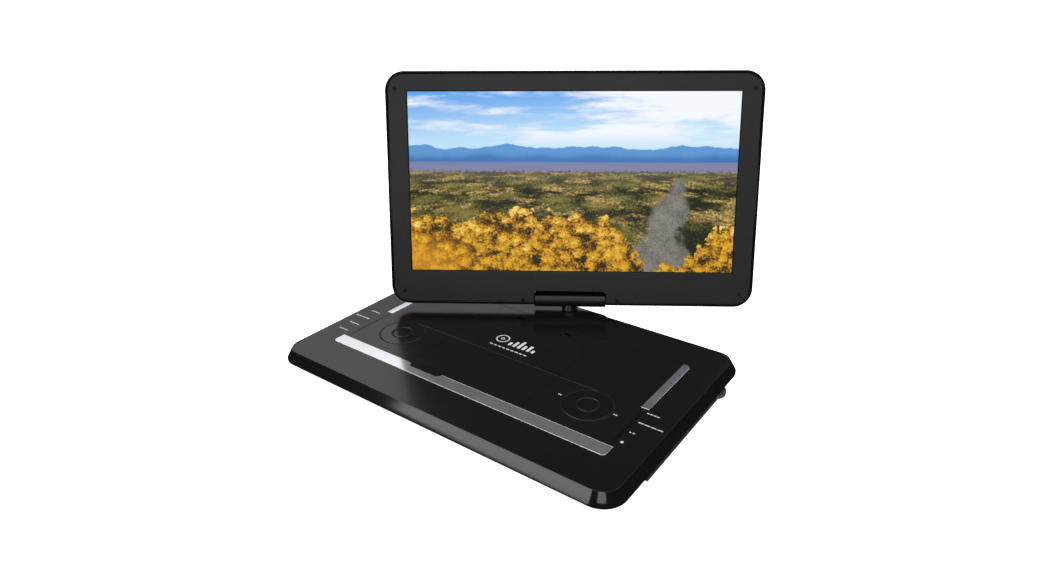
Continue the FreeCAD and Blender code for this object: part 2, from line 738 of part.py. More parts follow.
def bottom_cover():
    taper_w = HALF_W - SHELL_STEP
    taper_d = HALF_D - SHELL_STEP
    corner = BASE_CORNER_R - SHELL_STEP
    hull = tapered(taper_w, taper_d, corner, BELLY_IN, CASE_SPLIT, BELLY_Z)
    hull = joined(hull, box(BLOCK_X - BLOCK_IN, BLOCK_X, BLOCK_FRONT, BLOCK_REAR, BELLY_Z, CASE_SPLIT))
    inside = tapered(taper_w - WALL, taper_d - WALL, corner - WALL, BELLY_IN, CASE_SPLIT, FLOOR_Z)
    block_room = box(BLOCK_X - BLOCK_IN - WALL, INNER_X, BLOCK_FRONT + WALL, BLOCK_REAR - WALL,
                     FLOOR_Z, CASE_SPLIT)
    hull = cut_all(hull, [inside, block_room])
    posts = [drum(x, y, BELLY_Z, CASE_SPLIT, POST_R) for x, y in base_screw_spots()]
    posts += [drum(x, y, FLOOR_Z, BOARD_Z, SMALL_POST_R) for x, y in board_posts()]
    posts += [drum(x, y, FLOOR_Z, FRAME_Z, SMALL_POST_R) for x, y in frame_posts()]
    hull = joined(hull, *posts)
    cuts = wall_openings()
    for x, y in base_screw_spots():
        cuts.append(drum(x, y, BELLY_Z, CASE_SPLIT, SCREW_R + 2 * RUN))
        cuts.append(drum(x, y, BELLY_Z, BELLY_Z + SCREW_SUNK + SCREW_HEAD_H, SCREW_HEAD_R + 2 * RUN))
    for x, y in foot_spots():
        cuts.append(drum(x, y, BELLY_Z, BELLY_Z + FOOT_SUNK, FOOT_R + FOOT_GAP))
    for x, y in speaker_spots():
        for i in range(SLOT_COUNT):
            slot_x = x + (i - (SLOT_COUNT - 1) / 2) * SLOT_PITCH
            cuts.append(slab(slot_x - SLOT_W / 2, slot_x + SLOT_W / 2, y - SLOT_L / 2, y + SLOT_L / 2,
                             BELLY_Z, FLOOR_Z, SLOT_W / 2 - ROUND_LESS))
    return cut_all(hull, cuts)


def wall_openings():
    """Openings for the sockets, the switch and the wheel in the connector wall."""
    x0 = INNER_X - NOSE_ROOT / 2
    x1 = BLOCK_X + NOSE_ROOT
    reach = WHEEL_R + WHEEL_GAP
    slot_half = CARD_SLOT_W / 2 + LOOSE
    card_half = CARD_SLOT_H / 2 + LOOSE
    knob_front = POWER_Y - KNOB_W / 2 - LOOSE
    knob_rear = POWER_Y + KNOB_W / 2 + KNOB_TRAVEL + LOOSE
    knob_half = KNOB_H / 2 + LOOSE
    tools = [
        box(x0, x1, USB_Y - USB_W / 2 - LOOSE, USB_Y + USB_W / 2 + LOOSE, BOARD_TOP, BOARD_TOP + USB_H + LOOSE),
        box(x0, x1, CARD_Y - slot_half, CARD_Y + slot_half, CARD_Z - card_half, CARD_Z + card_half),
        box(x0, x1, knob_front, knob_rear, SWITCH_Z - knob_half, SWITCH_Z + knob_half),
        box(x0 - WHEEL_SLOT_IN, x1, WHEEL_Y - reach, WHEEL_Y + reach,
            WHEEL_Z - WHEEL_FACE_GAP, WHEEL_Z + WHEEL_H + WHEEL_FACE_GAP),
        rod_x(x0, x1, DC_Y, DC_AXIS_Z, DC_R + DC_WALL + LOOSE),
    ]
    tools += [rod_x(x0, x1, y, JACK_Z, JACK_NOSE_R + LOOSE) for y in (AV_Y, PHONES_Y)]
    return tools


# ---- sockets and controls on the right
def usb_socket():
    back = INNER_X - USB_L
    low = BOARD_TOP
    shell = box(back, NOSE_X, USB_Y - USB_W / 2, USB_Y + USB_W / 2, low, low + USB_H)
    room = box(back + USB_BACK, NOSE_X, USB_Y - USB_W / 2 + USB_SKIN, USB_Y + USB_W / 2 - USB_SKIN,
               low + USB_SKIN, low + USB_H - USB_SKIN)
    tongue = box(back, NOSE_X - TONGUE_IN, USB_Y - TONGUE_W / 2, USB_Y + TONGUE_W / 2,
                 low + TONGUE_LOW, low + TONGUE_LOW + TONGUE_T)
    return joined(shell.cut(room), tongue)


def card_slot():
    back = INNER_X - CARD_L
    body = box(back, INNER_X - BODY_GAP, CARD_Y - CARD_W / 2, CARD_Y + CARD_W / 2,
               BOARD_TOP, BOARD_TOP + CARD_H)
    room = box(back + CARD_BACK, INNER_X, CARD_Y - CARD_SLOT_W / 2, CARD_Y + CARD_SLOT_W / 2,
               CARD_Z - CARD_SLOT_H / 2, CARD_Z + CARD_SLOT_H / 2)
    return body.cut(room)


def jack(y):
    body = box(INNER_X - JACK_BODY_L, INNER_X - BODY_GAP, y - JACK_BODY / 2, y + JACK_BODY / 2,
               BOARD_TOP, BOARD_TOP + JACK_BODY)
    nose = rod_x(INNER_X - NOSE_ROOT, NOSE_X, y, JACK_Z, JACK_NOSE_R)
    return joined(body, nose).cut(rod_x(NOSE_X - JACK_L, NOSE_X, y, JACK_Z, JACK_R))


def dc_jack():
    body = box(INNER_X - JACK_BODY_L, INNER_X - BODY_GAP, DC_Y - DC_BODY / 2, DC_Y + DC_BODY / 2,
               BOARD_TOP, BOARD_TOP + DC_BODY_H)
    nose = rod_x(INNER_X - DC_ROOT, NOSE_X, DC_Y, DC_AXIS_Z, DC_R + DC_WALL)
    hole = rod_x(NOSE_X - DC_DEEP, NOSE_X, DC_Y, DC_AXIS_Z, DC_R)
    return joined(body, nose).cut([hole, dc_pin()])


def dc_pin():
    return rod_x(NOSE_X - DC_DEEP - DC_PIN_BACK, NOSE_X - DC_PIN_IN, DC_Y, DC_AXIS_Z, DC_PIN_R)


def power_switch_housing():
    x1 = INNER_X - SWITCH_GAP
    front = POWER_Y - SWITCH_END
    body = box(x1 - SWITCH_L, x1, front, front + SWITCH_W, BOARD_TOP, BOARD_TOP + SWITCH_H)
    half = KNOB_H / 2 + BUTTON_GAP
    room = box(x1 - SWITCH_ROOM, x1, POWER_Y - KNOB_W / 2 - KNOB_GAP,
               POWER_Y + KNOB_W / 2 + KNOB_TRAVEL + KNOB_GAP, SWITCH_Z - half, SWITCH_Z + half)
    return body.cut(room)


def power_switch():
    low = SWITCH_Z - KNOB_H / 2
    high = SWITCH_Z + KNOB_H / 2
    face = BLOCK_X + KNOB_PROUD
    knob = box(INNER_X - SWITCH_GAP - KNOB_ROOT, face, POWER_Y - KNOB_W / 2, POWER_Y + KNOB_W / 2, low, high)
    grooves = []
    for i in range(KNOB_GROOVES):
        y = POWER_Y + (i - (KNOB_GROOVES - 1) / 2) * KNOB_GROOVE_PITCH
        grooves.append(box(face - KNOB_GROOVE_DEEP, face, y - KNOB_GROOVE_W / 2, y + KNOB_GROOVE_W / 2,
                           low, high))
    return knob.cut(grooves)


def volume_wheel():
    top = WHEEL_Z + WHEEL_H
    wheel = ring(WHEEL_X, WHEEL_Y, WHEEL_Z, top, WHEEL_R, WHEEL_POST_R + RUN)
    reach = WHEEL_R + WHEEL_GROOVE_OUT
    grooves = []
    for i in range(WHEEL_GROOVES):
        angle = 2 * pi * i / WHEEL_GROOVES
        x = WHEEL_X + reach * cos(angle)
        y = WHEEL_Y + reach * sin(angle)
        grooves.append(drum(x, y, WHEEL_Z, top, WHEEL_GROOVE_R))
    return wheel.cut(grooves)


def volume_pot():
    seat = drum(WHEEL_X - POT_BACK, WHEEL_Y, BOARD_TOP, WHEEL_Z - POT_GAP, POT_R)
    post = drum(WHEEL_X, WHEEL_Y, BOARD_TOP, WHEEL_Z + WHEEL_H - WHEEL_POST_BELOW, WHEEL_POST_R)
    return joined(seat, post)


def main_board():
    board = box(BOARD_LEFT, BOARD_RIGHT, BOARD_FRONT, BOARD_REAR, BOARD_Z, BOARD_TOP)
    fitted = []
    for i, size in enumerate(CHIP_SIZES):
        y = CHIP_Y + i * CHIP_PITCH
        fitted.append(block(BOARD_LEFT + CHIP_IN, y, size, size, BOARD_TOP, BOARD_TOP + CHIP_H))
    for i in range(CAN_COUNT):
        y = CAN_Y + i * CAN_PITCH
        fitted.append(drum(BOARD_LEFT + CAN_IN, y, BOARD_TOP, BOARD_TOP + CAN_H, CAN_R))
    return joined(board, *fitted)


# ---- deck skins
def crease(half):
    return block(0, CREASE_Y, 2 * half, CREASE_W, DECK_H - CREASE_DEEP, DECK_H)


def knuckle_room(side, y0, y1, z0, z1):
    """Opening round one door knuckle."""
    x = side * KNUCKLE_X
    half = KNUCKLE_W / 2 + SEAM
    return box(x - half, x + half, y0, y1, z0, z1)


def deck_panel():
    past_front = -PANEL_FRONT - 2 * SEAM
    half = DOOR_W / 2 + SEAM
    # the door's opening runs square through the panel's front edge
    cuts = [
        door_blank(SEAM, PANEL_UNDER, DECK_H, past_front),
        box(-half, half, past_front, past_front + 2 * DOOR_FRONT_R, PANEL_UNDER, DECK_H),
        crease(CREASE_HALF),
    ]
    for side in SIDES:
        cuts.append(knuckle_room(side, DOOR_REAR, DOOR_AXIS_Y + KNUCKLE_R + SEAM, PANEL_UNDER, DECK_H))
        cuts.append(drum(side * PAD_X, PAD_Y, PANEL_UNDER, DECK_H, PAD_R + SEAM))
    return cut_all(panel_blank(0, PANEL_UNDER, DECK_H), cuts)


def front_trim():
    trim = front_trim_blank(0, TRIM_UNDER, TRIM_TOP)
    notch = prism_z(notch_outline(0, -PANEL_FRONT - NOTCH_D - SEAM, -PANEL_FRONT), TRIM_UNDER, TRIM_TOP)
    return trim.cut(notch)


def right_trim():
    return side_trim_blank(0, TRIM_UNDER, TRIM_TOP)


# ---- disc bay
def disc_tray():
    plate = box(-TRAY_HALF, TRAY_HALF, TRAY_FRONT, TRAY_REAR, TRAY_UNDER, PLATE_UNDER)
    added = [drum(0, BAY_Y, BAY_FLOOR - TRAY_T, PLATE_UNDER, BAY_R + TRAY_T)]
    cuts = [
        drum(0, BAY_Y, BAY_FLOOR, PLATE_UNDER, BAY_R),
        drum(0, BAY_Y, BAY_FLOOR - TRAY_T, BAY_FLOOR, BAY_HOLE_R),
        opener_blank(2 * SEAM, TRAY_UNDER, PLATE_UNDER),
    ]
    slot_half = LENS_R + LENS_SLOT_PAST
    cuts.append(slab(LENS_X - slot_half, LENS_X + SLED_TRAVEL + slot_half, BAY_Y - slot_half, BAY_Y + slot_half,
                     BAY_FLOOR - TRAY_T, BAY_FLOOR, LENS_SLOT_PAST))
    for side in SIDES:
        x = side * KNUCKLE_X
        inner = KNUCKLE_W / 2 + SEAM
        added.append(drum(side * PAD_X, PAD_Y, PAD_WELL_FLOOR - TRAY_T, PLATE_UNDER, PAD_WELL_R + TRAY_T))
        added.append(box(x - inner - EAR_T, x + inner + EAR_T, DOOR_AXIS_Y - EAR_FRONT, DOOR_AXIS_Y + EAR_REAR,
                         EAR_UNDER, PLATE_UNDER))
        cuts.append(drum(side * PAD_X, PAD_Y, PAD_WELL_FLOOR, PLATE_UNDER, PAD_WELL_R))
        cuts.append(knuckle_room(side, DOOR_AXIS_Y - EAR_FRONT - DOOR_RIB_W, DOOR_AXIS_Y + EAR_REAR,
                                 EAR_UNDER, PLATE_UNDER))
        cuts.append(door_pin(side))
    return cut_all(joined(plate, *added), cuts)


def door_pin(side):
    reach = KNUCKLE_W / 2 + SEAM + EAR_T
    return rod_x(side * KNUCKLE_X - reach, side * KNUCKLE_X + reach, DOOR_AXIS_Y, DOOR_AXIS_Z, DOOR_PIN_R)


def door_plate():
    """Door skin whose edge slants in underneath all round, so that it clears the panel as it turns."""
    edge_z = DECK_H - DOOR_EDGE
    half = DOOR_W / 2
    radii = (DOOR_FRONT_R, DOOR_FRONT_R, DOOR_REAR_R, DOOR_REAR_R)
    under = outline(-half + DOOR_SLANT, half - DOOR_SLANT, -PANEL_FRONT + DOOR_SLANT, DOOR_REAR - DOOR_SLANT,
                    DOOR_UNDER, [r - DOOR_SLANT for r in radii])
    over = outline(-half, half, -PANEL_FRONT, DOOR_REAR, edge_z, radii)
    slanted = Part.makeLoft([under, over], True, True)
    return joined(slanted, door_blank(0, edge_z, DECK_H, -PANEL_FRONT))


def door_rib(inset):
    """Filled outline under the door; the stiffening rim is one of these less a smaller one."""
    half = DOOR_W / 2 - DOOR_RIB_IN - inset
    front_r = DOOR_RIB_R - inset
    rear_r = DOOR_REAR_R - DOOR_RIB_IN - inset
    return slab(-half, half, -PANEL_FRONT + DOOR_RIB_FRONT + inset, DOOR_REAR - DOOR_RIB_IN - inset,
                DOOR_UNDER - DOOR_RIB_H, DOOR_UNDER, (front_r, front_r, rear_r, rear_r))


def disc_door():
    pieces = [door_rib(0).cut(door_rib(DOOR_RIB_W))]
    cuts = [opener_blank(SEAM, DOOR_UNDER - DOOR_RIB_H, DECK_H), crease(DOOR_W / 2)]
    web_front = DOOR_REAR - WEB_L
    web = [(web_front, DECK_H - WEB_SUNK), (DOOR_AXIS_Y, DECK_H),
           (DOOR_AXIS_Y, DOOR_AXIS_Z), (web_front, DOOR_UNDER)]
    for side in SIDES:
        x0 = side * KNUCKLE_X - KNUCKLE_W / 2
        x1 = x0 + KNUCKLE_W
        pieces.append(rod_x(x0, x1, DOOR_AXIS_Y, DOOR_AXIS_Z, KNUCKLE_R))
        pieces.append(prism_x(web, x0, x1))
        cuts.append(rod_x(x0, x1, DOOR_AXIS_Y, DOOR_AXIS_Z, DOOR_PIN_R + RUN))
    return cut_all(joined(door_plate(), *pieces), cuts)


def open_button():
    return opener_blank(0, PLATE_UNDER - OPENER_DEEP, DECK_H + OPENER_PROUD)


# ---- loader
def loader_frame():
    plate = box(FRAME_LEFT, FRAME_RIGHT, BAY_Y - FRAME_FRONT, BAY_Y + FRAME_REAR, FRAME_Z, FRAME_TOP)
    cheeks = []
    for y in (BAY_Y - ROD_SPAN, BAY_Y + ROD_SPAN, SCREW_ROW_Y):
        for x in (ROD_LEFT - CHEEK_T, ROD_RIGHT):
            cheeks.append(box(x, x + CHEEK_T, y - CHEEK_HALF, y + CHEEK_HALF, FRAME_Z, ROD_Z + CHEEK_OVER))
    cuts = [guide_rod(side) for side in SIDES]
    cuts.append(rod_x(ROD_LEFT - CHEEK_T, ROD_RIGHT + CHEEK_T, SCREW_ROW_Y, ROD_Z, ROD_R + RUN))
    cuts.append(box(WINDOW_LEFT, WINDOW_RIGHT, BAY_Y - WINDOW_HALF, BAY_Y + WINDOW_HALF, FRAME_Z, FRAME_TOP))
    return cut_all(joined(plate, *cheeks), cuts)


def guide_rod(side):
    return rod_x(ROD_LEFT - CHEEK_T, ROD_RIGHT + CHEEK_T, BAY_Y + side * ROD_SPAN, ROD_Z, ROD_R)


def lead_screw():
    past = CHEEK_T + ROD_TIP
    screw = rod_x(ROD_LEFT - past, ROD_RIGHT + past, SCREW_ROW_Y, ROD_Z, ROD_R)
    collar_x = ROD_LEFT + COLLAR_GAP
    return joined(screw, rod_x(collar_x, collar_x + COLLAR_L, SCREW_ROW_Y, ROD_Z, ROD_R + COLLAR_H))


def sled_motor():
    x1 = ROD_LEFT - CHEEK_T - 2 * ROD_TIP
    body = rod_x(x1 - SLED_MOTOR_L, x1, SCREW_ROW_Y, ROD_Z, SLED_MOTOR_R)
    saddle_x = x1 - SLED_MOTOR_L / 2
    saddle = block(saddle_x, SCREW_ROW_Y, SADDLE_L, SADDLE_W, FRAME_TOP, ROD_Z)
    return joined(body, saddle)


def laser_sled():
    x0 = LENS_X - SLED_L / 2
    x1 = x0 + SLED_L
    body = box(x0, x1, BAY_Y - ROD_SPAN - SLED_PAST, SCREW_ROW_Y + SLED_PAST, ROD_Z - SLED_H / 2, SLED_TOP)
    cuts = [rod_x(x0, x1, y, ROD_Z, ROD_R + RUN) for y in (BAY_Y - ROD_SPAN, BAY_Y + ROD_SPAN, SCREW_ROW_Y)]
    cuts.append(drum(LENS_X, BAY_Y, SLED_TOP - LENS_SEAT, SLED_TOP, LENS_R + LENS_SEAT))
    return cut_all(body, cuts)


def sled_lens():
    stem = drum(LENS_X, BAY_Y, SLED_TOP - LENS_SEAT, LENS_SHOULDER, LENS_R)
    dome_r = LENS_R * LENS_BULGE
    drop = (dome_r ** 2 - LENS_R ** 2) ** 0.5
    dome = Part.makeSphere(dome_r, V(LENS_X, BAY_Y, LENS_SHOULDER - drop))
    return joined(stem, dome.common(drum(LENS_X, BAY_Y, LENS_SHOULDER, LENS_SHOULDER + dome_r, LENS_R)))


def spindle_motor():
    body = drum(0, BAY_Y, FRAME_TOP, FRAME_TOP + MOTOR_H, MOTOR_R)
    return body.cut(drum(0, BAY_Y, FRAME_TOP + MOTOR_BASE, FRAME_TOP + MOTOR_H, HUB_STEM_R + RUN))


def turntable_hub():
    plate = drum(0, BAY_Y, HUB_TOP - HUB_PLATE_T, HUB_TOP, HUB_R)
    boss = Part.makeCone(BOSS_R, BOSS_R - BOSS_TAPER, BOSS_H, V(0, BAY_Y, HUB_TOP), Z_AXIS)
    stem = drum(0, BAY_Y, FRAME_TOP + MOTOR_BASE + HUB_STEM_GAP, HUB_TOP, HUB_STEM_R)
    return joined(plate, boss, stem)


# ---- buttons
def pad_ring(side):
    x = side * PAD_X
    top = DECK_H + PAD_PROUD
    skirt = ring(x, PAD_Y, PAD_LOW, top, PAD_R, PAD_HOLE_R)
    flange = ring(x, PAD_Y, PAD_LOW, PAD_LOW + PAD_FLANGE_T, PAD_R + PAD_FLANGE, PAD_HOLE_R)
    dish = drum(x, PAD_Y, top - PAD_DISH_DEEP, top, PAD_HOLE_R + PAD_DISH_W)
    return joined(skirt, flange).cut(dish)


def pad_button(side):
    return drum(side * PAD_X, PAD_Y, PAD_LOW, DECK_H + PAD_MIDDLE_PROUD, PAD_HOLE_R - PAD_MIDDLE_GAP)


def pad_boards():
    return group([drum(side * PAD_X, PAD_Y, PAD_WELL_FLOOR, PAD_BOARD_TOP, PAD_WELL_R - PAD_BOARD_GAP)
                  for side in SIDES])


def key(side, i):
    y = key_y(i)
    cap = key_blank(side, i, 0, KEY_BOARD_TOP + PAD_TRAVEL + KEY_REST_GAP, DECK_H + KEY_PROUD)
    top = PLATE_UNDER - KEY_FLANGE_GAP
    flange = side_box(side, KEY_X - KEY_W / 2, KEY_X + KEY_W / 2 + KEY_FLANGE, y - KEY_L / 2, y + KEY_L / 2,
                      top - KEY_FLANGE_T, top)
    return joined(cap, flange)


def key_boards():
    return group([side_box(side, KEY_X - KEY_BOARD_IN, KEY_X + KEY_BOARD_OUT, KEYS_FRONT - KEY_BOARD_PAST,
                           KEYS_REAR + KEY_BOARD_PAST, KEY_BOARD_TOP - KEY_BOARD_T, KEY_BOARD_TOP)
                  for side in SIDES])


# ---- inside the base
def battery_pack():
    right = BATTERY_X + BATTERY_W / 2
    case = slab(BATTERY_X - BATTERY_W / 2, right, BATTERY_Y - BATTERY_D / 2, BATTERY_Y + BATTERY_D / 2,
                FLOOR_Z, FLOOR_Z + BATTERY_H, BATTERY_R)
    plug = block(right + PLUG_L / 2, PLUG_Y, PLUG_L, PLUG_W, FLOOR_Z + PLUG_Z, FLOOR_Z + PLUG_Z + PLUG_H)
    return joined(case, plug)


def speaker_blank(x, y, inset, height):
    half_l = SPEAKER_L / 2 - inset
    half_d = SPEAKER_D / 2 - inset
    return slab(x - half_l, x + half_l, y - half_d, y + half_d, FLOOR_Z, FLOOR_Z + height, half_d - ROUND_LESS)


def speakers():
    return group([speaker_blank(x, y, 0, SPEAKER_H).cut(speaker_blank(x, y, CONE_IN, CONE_H))
                  for x, y in speaker_spots()])


def base_screws():
    head_z = BELLY_Z + SCREW_SUNK
    screws = []
    for x, y in base_screw_spots():
        head = drum(x, y, head_z, head_z + SCREW_HEAD_H, SCREW_HEAD_R)
        shank = drum(x, y, head_z, PLATE_UNDER - SCREW_TIP, SCREW_R)
        screws.append(joined(head, shank).cut(cross_slot(x, y, head_z, head_z + CROSS_DEEP)))
    return group(screws)


def rubber_feet():
    return group([drum(x, y, 0, BELLY_Z + FOOT_SUNK, FOOT_R) for x, y in foot_spots()])


# ---- swivel, drawn from the tilt axis
def swivelled(shape):
    turn = FreeCAD.Rotation(Z_AXIS, SWIVEL_DEG)
    shape.Placement = FreeCAD.Placement(V(0, SWIVEL_Y, HINGE_Z), turn).multiply(shape.Placement)
    return shape


def hinge_barrel():
    end = BARREL_L / 2
    room = end - PIN_DEEP - PIN_END_GAP
    barrel = rod_x(-end, end, 0, 0, BARREL_R)
    neck = Part.makeCone(NECK_R, NECK_TOP_R, NECK_H, V(0, 0, BARREL_LOW), Z_AXIS)
    cuts = [
        rod_x(room, end, 0, 0, HINGE_PIN_R + RUN),
        rod_x(-end, -room, 0, 0, HINGE_PIN_R + RUN),
        drum(0, 0, BARREL_LOW, BARREL_LOW + SHAFT_SOCKET, SHAFT_R),
        drum(0, 0, BARREL_LOW, 0, SHAFT_BORE_R),
    ]
    return swivelled(cut_all(joined(barrel, neck), cuts))


def swivel_shaft():
    bottom = NUT_TOP - NUT_H - SHAFT_PAST - HINGE_Z
    return swivelled(ring(0, 0, bottom, BARREL_LOW + SHAFT_SOCKET, SHAFT_R, SHAFT_BORE_R))


def swivel_washer():
    top = WASHER_TOP - HINGE_Z
    return swivelled(ring(0, 0, top - WASHER_T, top, NUT_R, SHAFT_R))


def swivel_nut():
    top = NUT_TOP - HINGE_Z
    corners = [V(NUT_R * cos(i * pi / 3), NUT_R * sin(i * pi / 3), top - NUT_H) for i in range(7)]
    body = Part.Face(Part.makePolygon(corners)).extrude(V(0, 0, NUT_H))
    return swivelled(body.cut(drum(0, 0, top - NUT_H, top, SHAFT_R)))


# ---- lid
def placed(shape):
    tip = FreeCAD.Rotation(X_AXIS, 180.0 - LID_OPEN_DEG)
    turn = FreeCAD.Rotation(Z_AXIS, SWIVEL_DEG)
    shape.Placement = FreeCAD.Placement(V(0, SWIVEL_Y, HINGE_Z), turn.multiply(tip)).multiply(shape.Placement)
    return shape


def lid_slab(inset, z0, z1):
    half = LID_W / 2 - inset
    return slab(-half, half, LID_LOW + inset, LID_TOP - inset, z0, z1, LID_R - inset)


def picture_box(border, z0, z1):
    half = PICTURE_W / 2 + border
    return box(-half, half, PICTURE_BOTTOM - border, PICTURE_BOTTOM + PICTURE_H + border, z0, z1)


def hinge_notch(z0, z1):
    return box(-NOTCH_HALF, NOTCH_HALF, LID_LOW, NOTCH_UP, z0, z1)


def lid_back_cover():
    half = LID_W / 2 - LID_BACK_BEVEL
    small = outline(-half, half, LID_LOW + LID_BACK_BEVEL, LID_TOP - LID_BACK_BEVEL, LID_BACK,
                    (LID_R - LID_BACK_BEVEL,) * 4)
    large = outline(-LID_W / 2, LID_W / 2, LID_LOW, LID_TOP, LID_EDGE, (LID_R,) * 4)
    shell = joined(Part.makeLoft([small, large], True, True), lid_slab(0, LID_EDGE, LID_FRONT))
    room = lid_slab(LID_RIM + LID_ROOM_IN, LID_FLOOR, LID_EDGE)
    room = joined(room, lid_slab(LID_RIM, LID_EDGE, BEZEL_UNDER))
    room = room.cut(box(-NOTCH_KEEP, NOTCH_KEEP, LID_LOW, NOTCH_UP + NOTCH_WALL, LID_BACK, BEZEL_UNDER))
    barrel_room = box(-NOTCH_HALF, NOTCH_HALF, LID_LOW, NOTCH_LIP_UP, LID_BACK, LID_FRONT)
    front_recess = lid_slab(LID_RIM, BEZEL_UNDER, LID_FRONT)
    shell = cut_all(shell, [room, front_recess, barrel_room, hinge_notch(NOTCH_LIP_FRONT, LID_FRONT)])
    ribs = []
    for i in range(LID_RIB_COUNT):
        x = (i - (LID_RIB_COUNT - 1) / 2) * LID_RIB_PITCH
        ribs.append(box(x - LID_RIB_T / 2, x + LID_RIB_T / 2, LID_LOW + LID_RIB_LOW, LID_TOP - LID_RIB_HIGH,
                        LID_FLOOR, BACKLIGHT_UNDER))
    pin_end = NOTCH_KEEP + BRACKET_T
    cuts = [rod_x(-pin_end, pin_end, 0, 0, HINGE_PIN_R + RUN)]
    for x, y in lid_screw_spots():
        cuts.append(drum(x, y, LID_BACK, LID_FLOOR, SCREW_R + 2 * RUN))
        cuts.append(drum(x, y, LID_BACK, LID_BACK + SCREW_HEAD_H, SCREW_HEAD_R + 2 * RUN))
    return placed(cut_all(joined(shell, *ribs), cuts))


def lid_bezel():
    plate = lid_slab(LID_RIM + SEAM / 2, BEZEL_UNDER, BEZEL_FACE)
    plate = cut_all(plate, [picture_box(0, BEZEL_UNDER, BEZEL_FACE), hinge_notch(BEZEL_UNDER, BEZEL_FACE)])
    posts = [ring(x, y, LID_FLOOR, BEZEL_UNDER, BEZEL_POST_R, SCREW_R + RUN) for x, y in lid_screw_spots()]
    return placed(joined(plate, *posts))


def lid_bumpers():
    return placed(group([drum(x, y, BEZEL_FACE, BEZEL_FACE + BUMPER_H, BUMPER_R) for x, y in bumper_spots()]))


def lcd_panel():
    return placed(picture_box(GLASS_BORDER, GLASS_UNDER, BEZEL_UNDER))


def backlight_unit():
    return placed(picture_box(BACKLIGHT_BORDER, BACKLIGHT_UNDER, GLASS_UNDER))


def driver_board():
    low = NOTCH_UP + NOTCH_WALL + DRIVER_GAP
    high = PICTURE_BOTTOM - BACKLIGHT_BORDER - DRIVER_GAP
    top = LID_FLOOR + BOARD_T
    board = box(-DRIVER_W / 2, DRIVER_W / 2, low, high, LID_FLOOR, top)
    chips = [block(DRIVER_CHIP_X + i * DRIVER_CHIP_PITCH, (low + high) / 2, DRIVER_CHIP_W, DRIVER_CHIP_D,
                   top, top + DRIVER_CHIP_H) for i in range(DRIVER_CHIPS)]
    return placed(joined(board, *chips))


def hinge_brackets():
    low = LID_LOW + LID_RIM + BRACKET_IN
    pin_start = BARREL_L / 2 - PIN_DEEP
    pin = rod_x(pin_start, NOTCH_KEEP + BRACKET_T, 0, 0, HINGE_PIN_R)
    ear = box(NOTCH_KEEP, NOTCH_KEEP + BRACKET_T, low, BRACKET_TOP, LID_FLOOR, BRACKET_FRONT)
    foot = box(NOTCH_KEEP, NOTCH_KEEP + BRACKET_FOOT_L, low, BRACKET_FOOT_TOP,
               LID_FLOOR, LID_FLOOR + BRACKET_FOOT_T)
    bracket = joined(ear, pin, foot)
    return placed(group([bracket, mirrored(bracket)]))


def lid_screws():
    head_z = LID_BACK + LID_SCREW_SUNK
    screws = []
    for x, y in lid_screw_spots():
        head = drum(x, y, head_z, LID_BACK + SCREW_HEAD_H, SCREW_HEAD_R)
        shank = drum(x, y, head_z, BEZEL_UNDER - LID_SCREW_TIP, SCREW_R)
        screws.append(joined(head, shank).cut(cross_slot(x, y, head_z, head_z + CROSS_DEEP)))
    return placed(group(screws))


nodes = {
    "base_top_cover": top_cover(),
    "base_bottom_cover": bottom_cover(),
    "deck_panel": deck_panel(),
    "front_trim": front_trim(),
    "right_trim": right_trim(),
    "left_trim": mirrored(right_trim()),
    "disc_tray": disc_tray(),
    "disc_door": disc_door(),
    "door_pins": group([door_pin(side) for side in SIDES]),
    "open_button": open_button(),
    "status_window": status_blank(0, DECK_H + STATUS_PROUD),
    "rubber_feet": rubber_feet(),
    "base_screws": base_screws(),
    "main_board": main_board(),
    "key_boards": key_boards(),
    "pad_boards": pad_boards(),
    "battery_pack": battery_pack(),
    "speakers": speakers(),
    "usb_socket": usb_socket(),
    "card_slot": card_slot(),
    "dc_jack": dc_jack(),
    "dc_pin": dc_pin(),
    "av_jack": jack(AV_Y),
    "headphone_jack": jack(PHONES_Y),
    "power_switch_housing": power_switch_housing(),
    "power_switch": power_switch(),
    "volume_pot": volume_pot(),
    "volume_wheel": volume_wheel(),
    "loader_frame": loader_frame(),
    "guide_rods": group([guide_rod(side) for side in SIDES]),
    "lead_screw": lead_screw(),
    "sled_motor": sled_motor(),
    "laser_sled": laser_sled(),
    "sled_lens": sled_lens(),
    "spindle_motor": spindle_motor(),
    "turntable_hub": turntable_hub(),
    "nav_ring": pad_ring(-1),
    "nav_button": pad_button(-1),
    "play_ring": pad_ring(1),
    "play_button": pad_button(1),
    "hinge_barrel": hinge_barrel(),
    "swivel_shaft": swivel_shaft(),
    "swivel_washer": swivel_washer(),
    "swivel_nut": swivel_nut(),
    "lid_back_cover": lid_back_cover(),
    "lid_bezel": lid_bezel(),
    "lid_bumpers": lid_bumpers(),
    "lcd_panel": lcd_panel(),
    "backlight_unit": backlight_unit(),
    "driver_board": driver_board(),
    "hinge_brackets": hinge_brackets(),
    "lid_screws": lid_screws(),
}
for i, name in enumerate(KEY_NAMES):
    nodes["left_key_" + name] = key(-1, i)
    nodes["right_key_" + name] = key(1, i)

os.makedirs("parts", exist_ok=True)
for name, shape in nodes.items():
    solids = shape.Solids
    if not shape.isValid() or not solids:
        raise ValueError(name + " is not a valid solid")
    print(name, len(solids), round(shape.Volume / 1000.0, 3), "cm3")
    shape.exportStep("parts/" + name + ".step")
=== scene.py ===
import bmesh
import bpy
import json
import math
from mathutils import Euler, Matrix, Vector


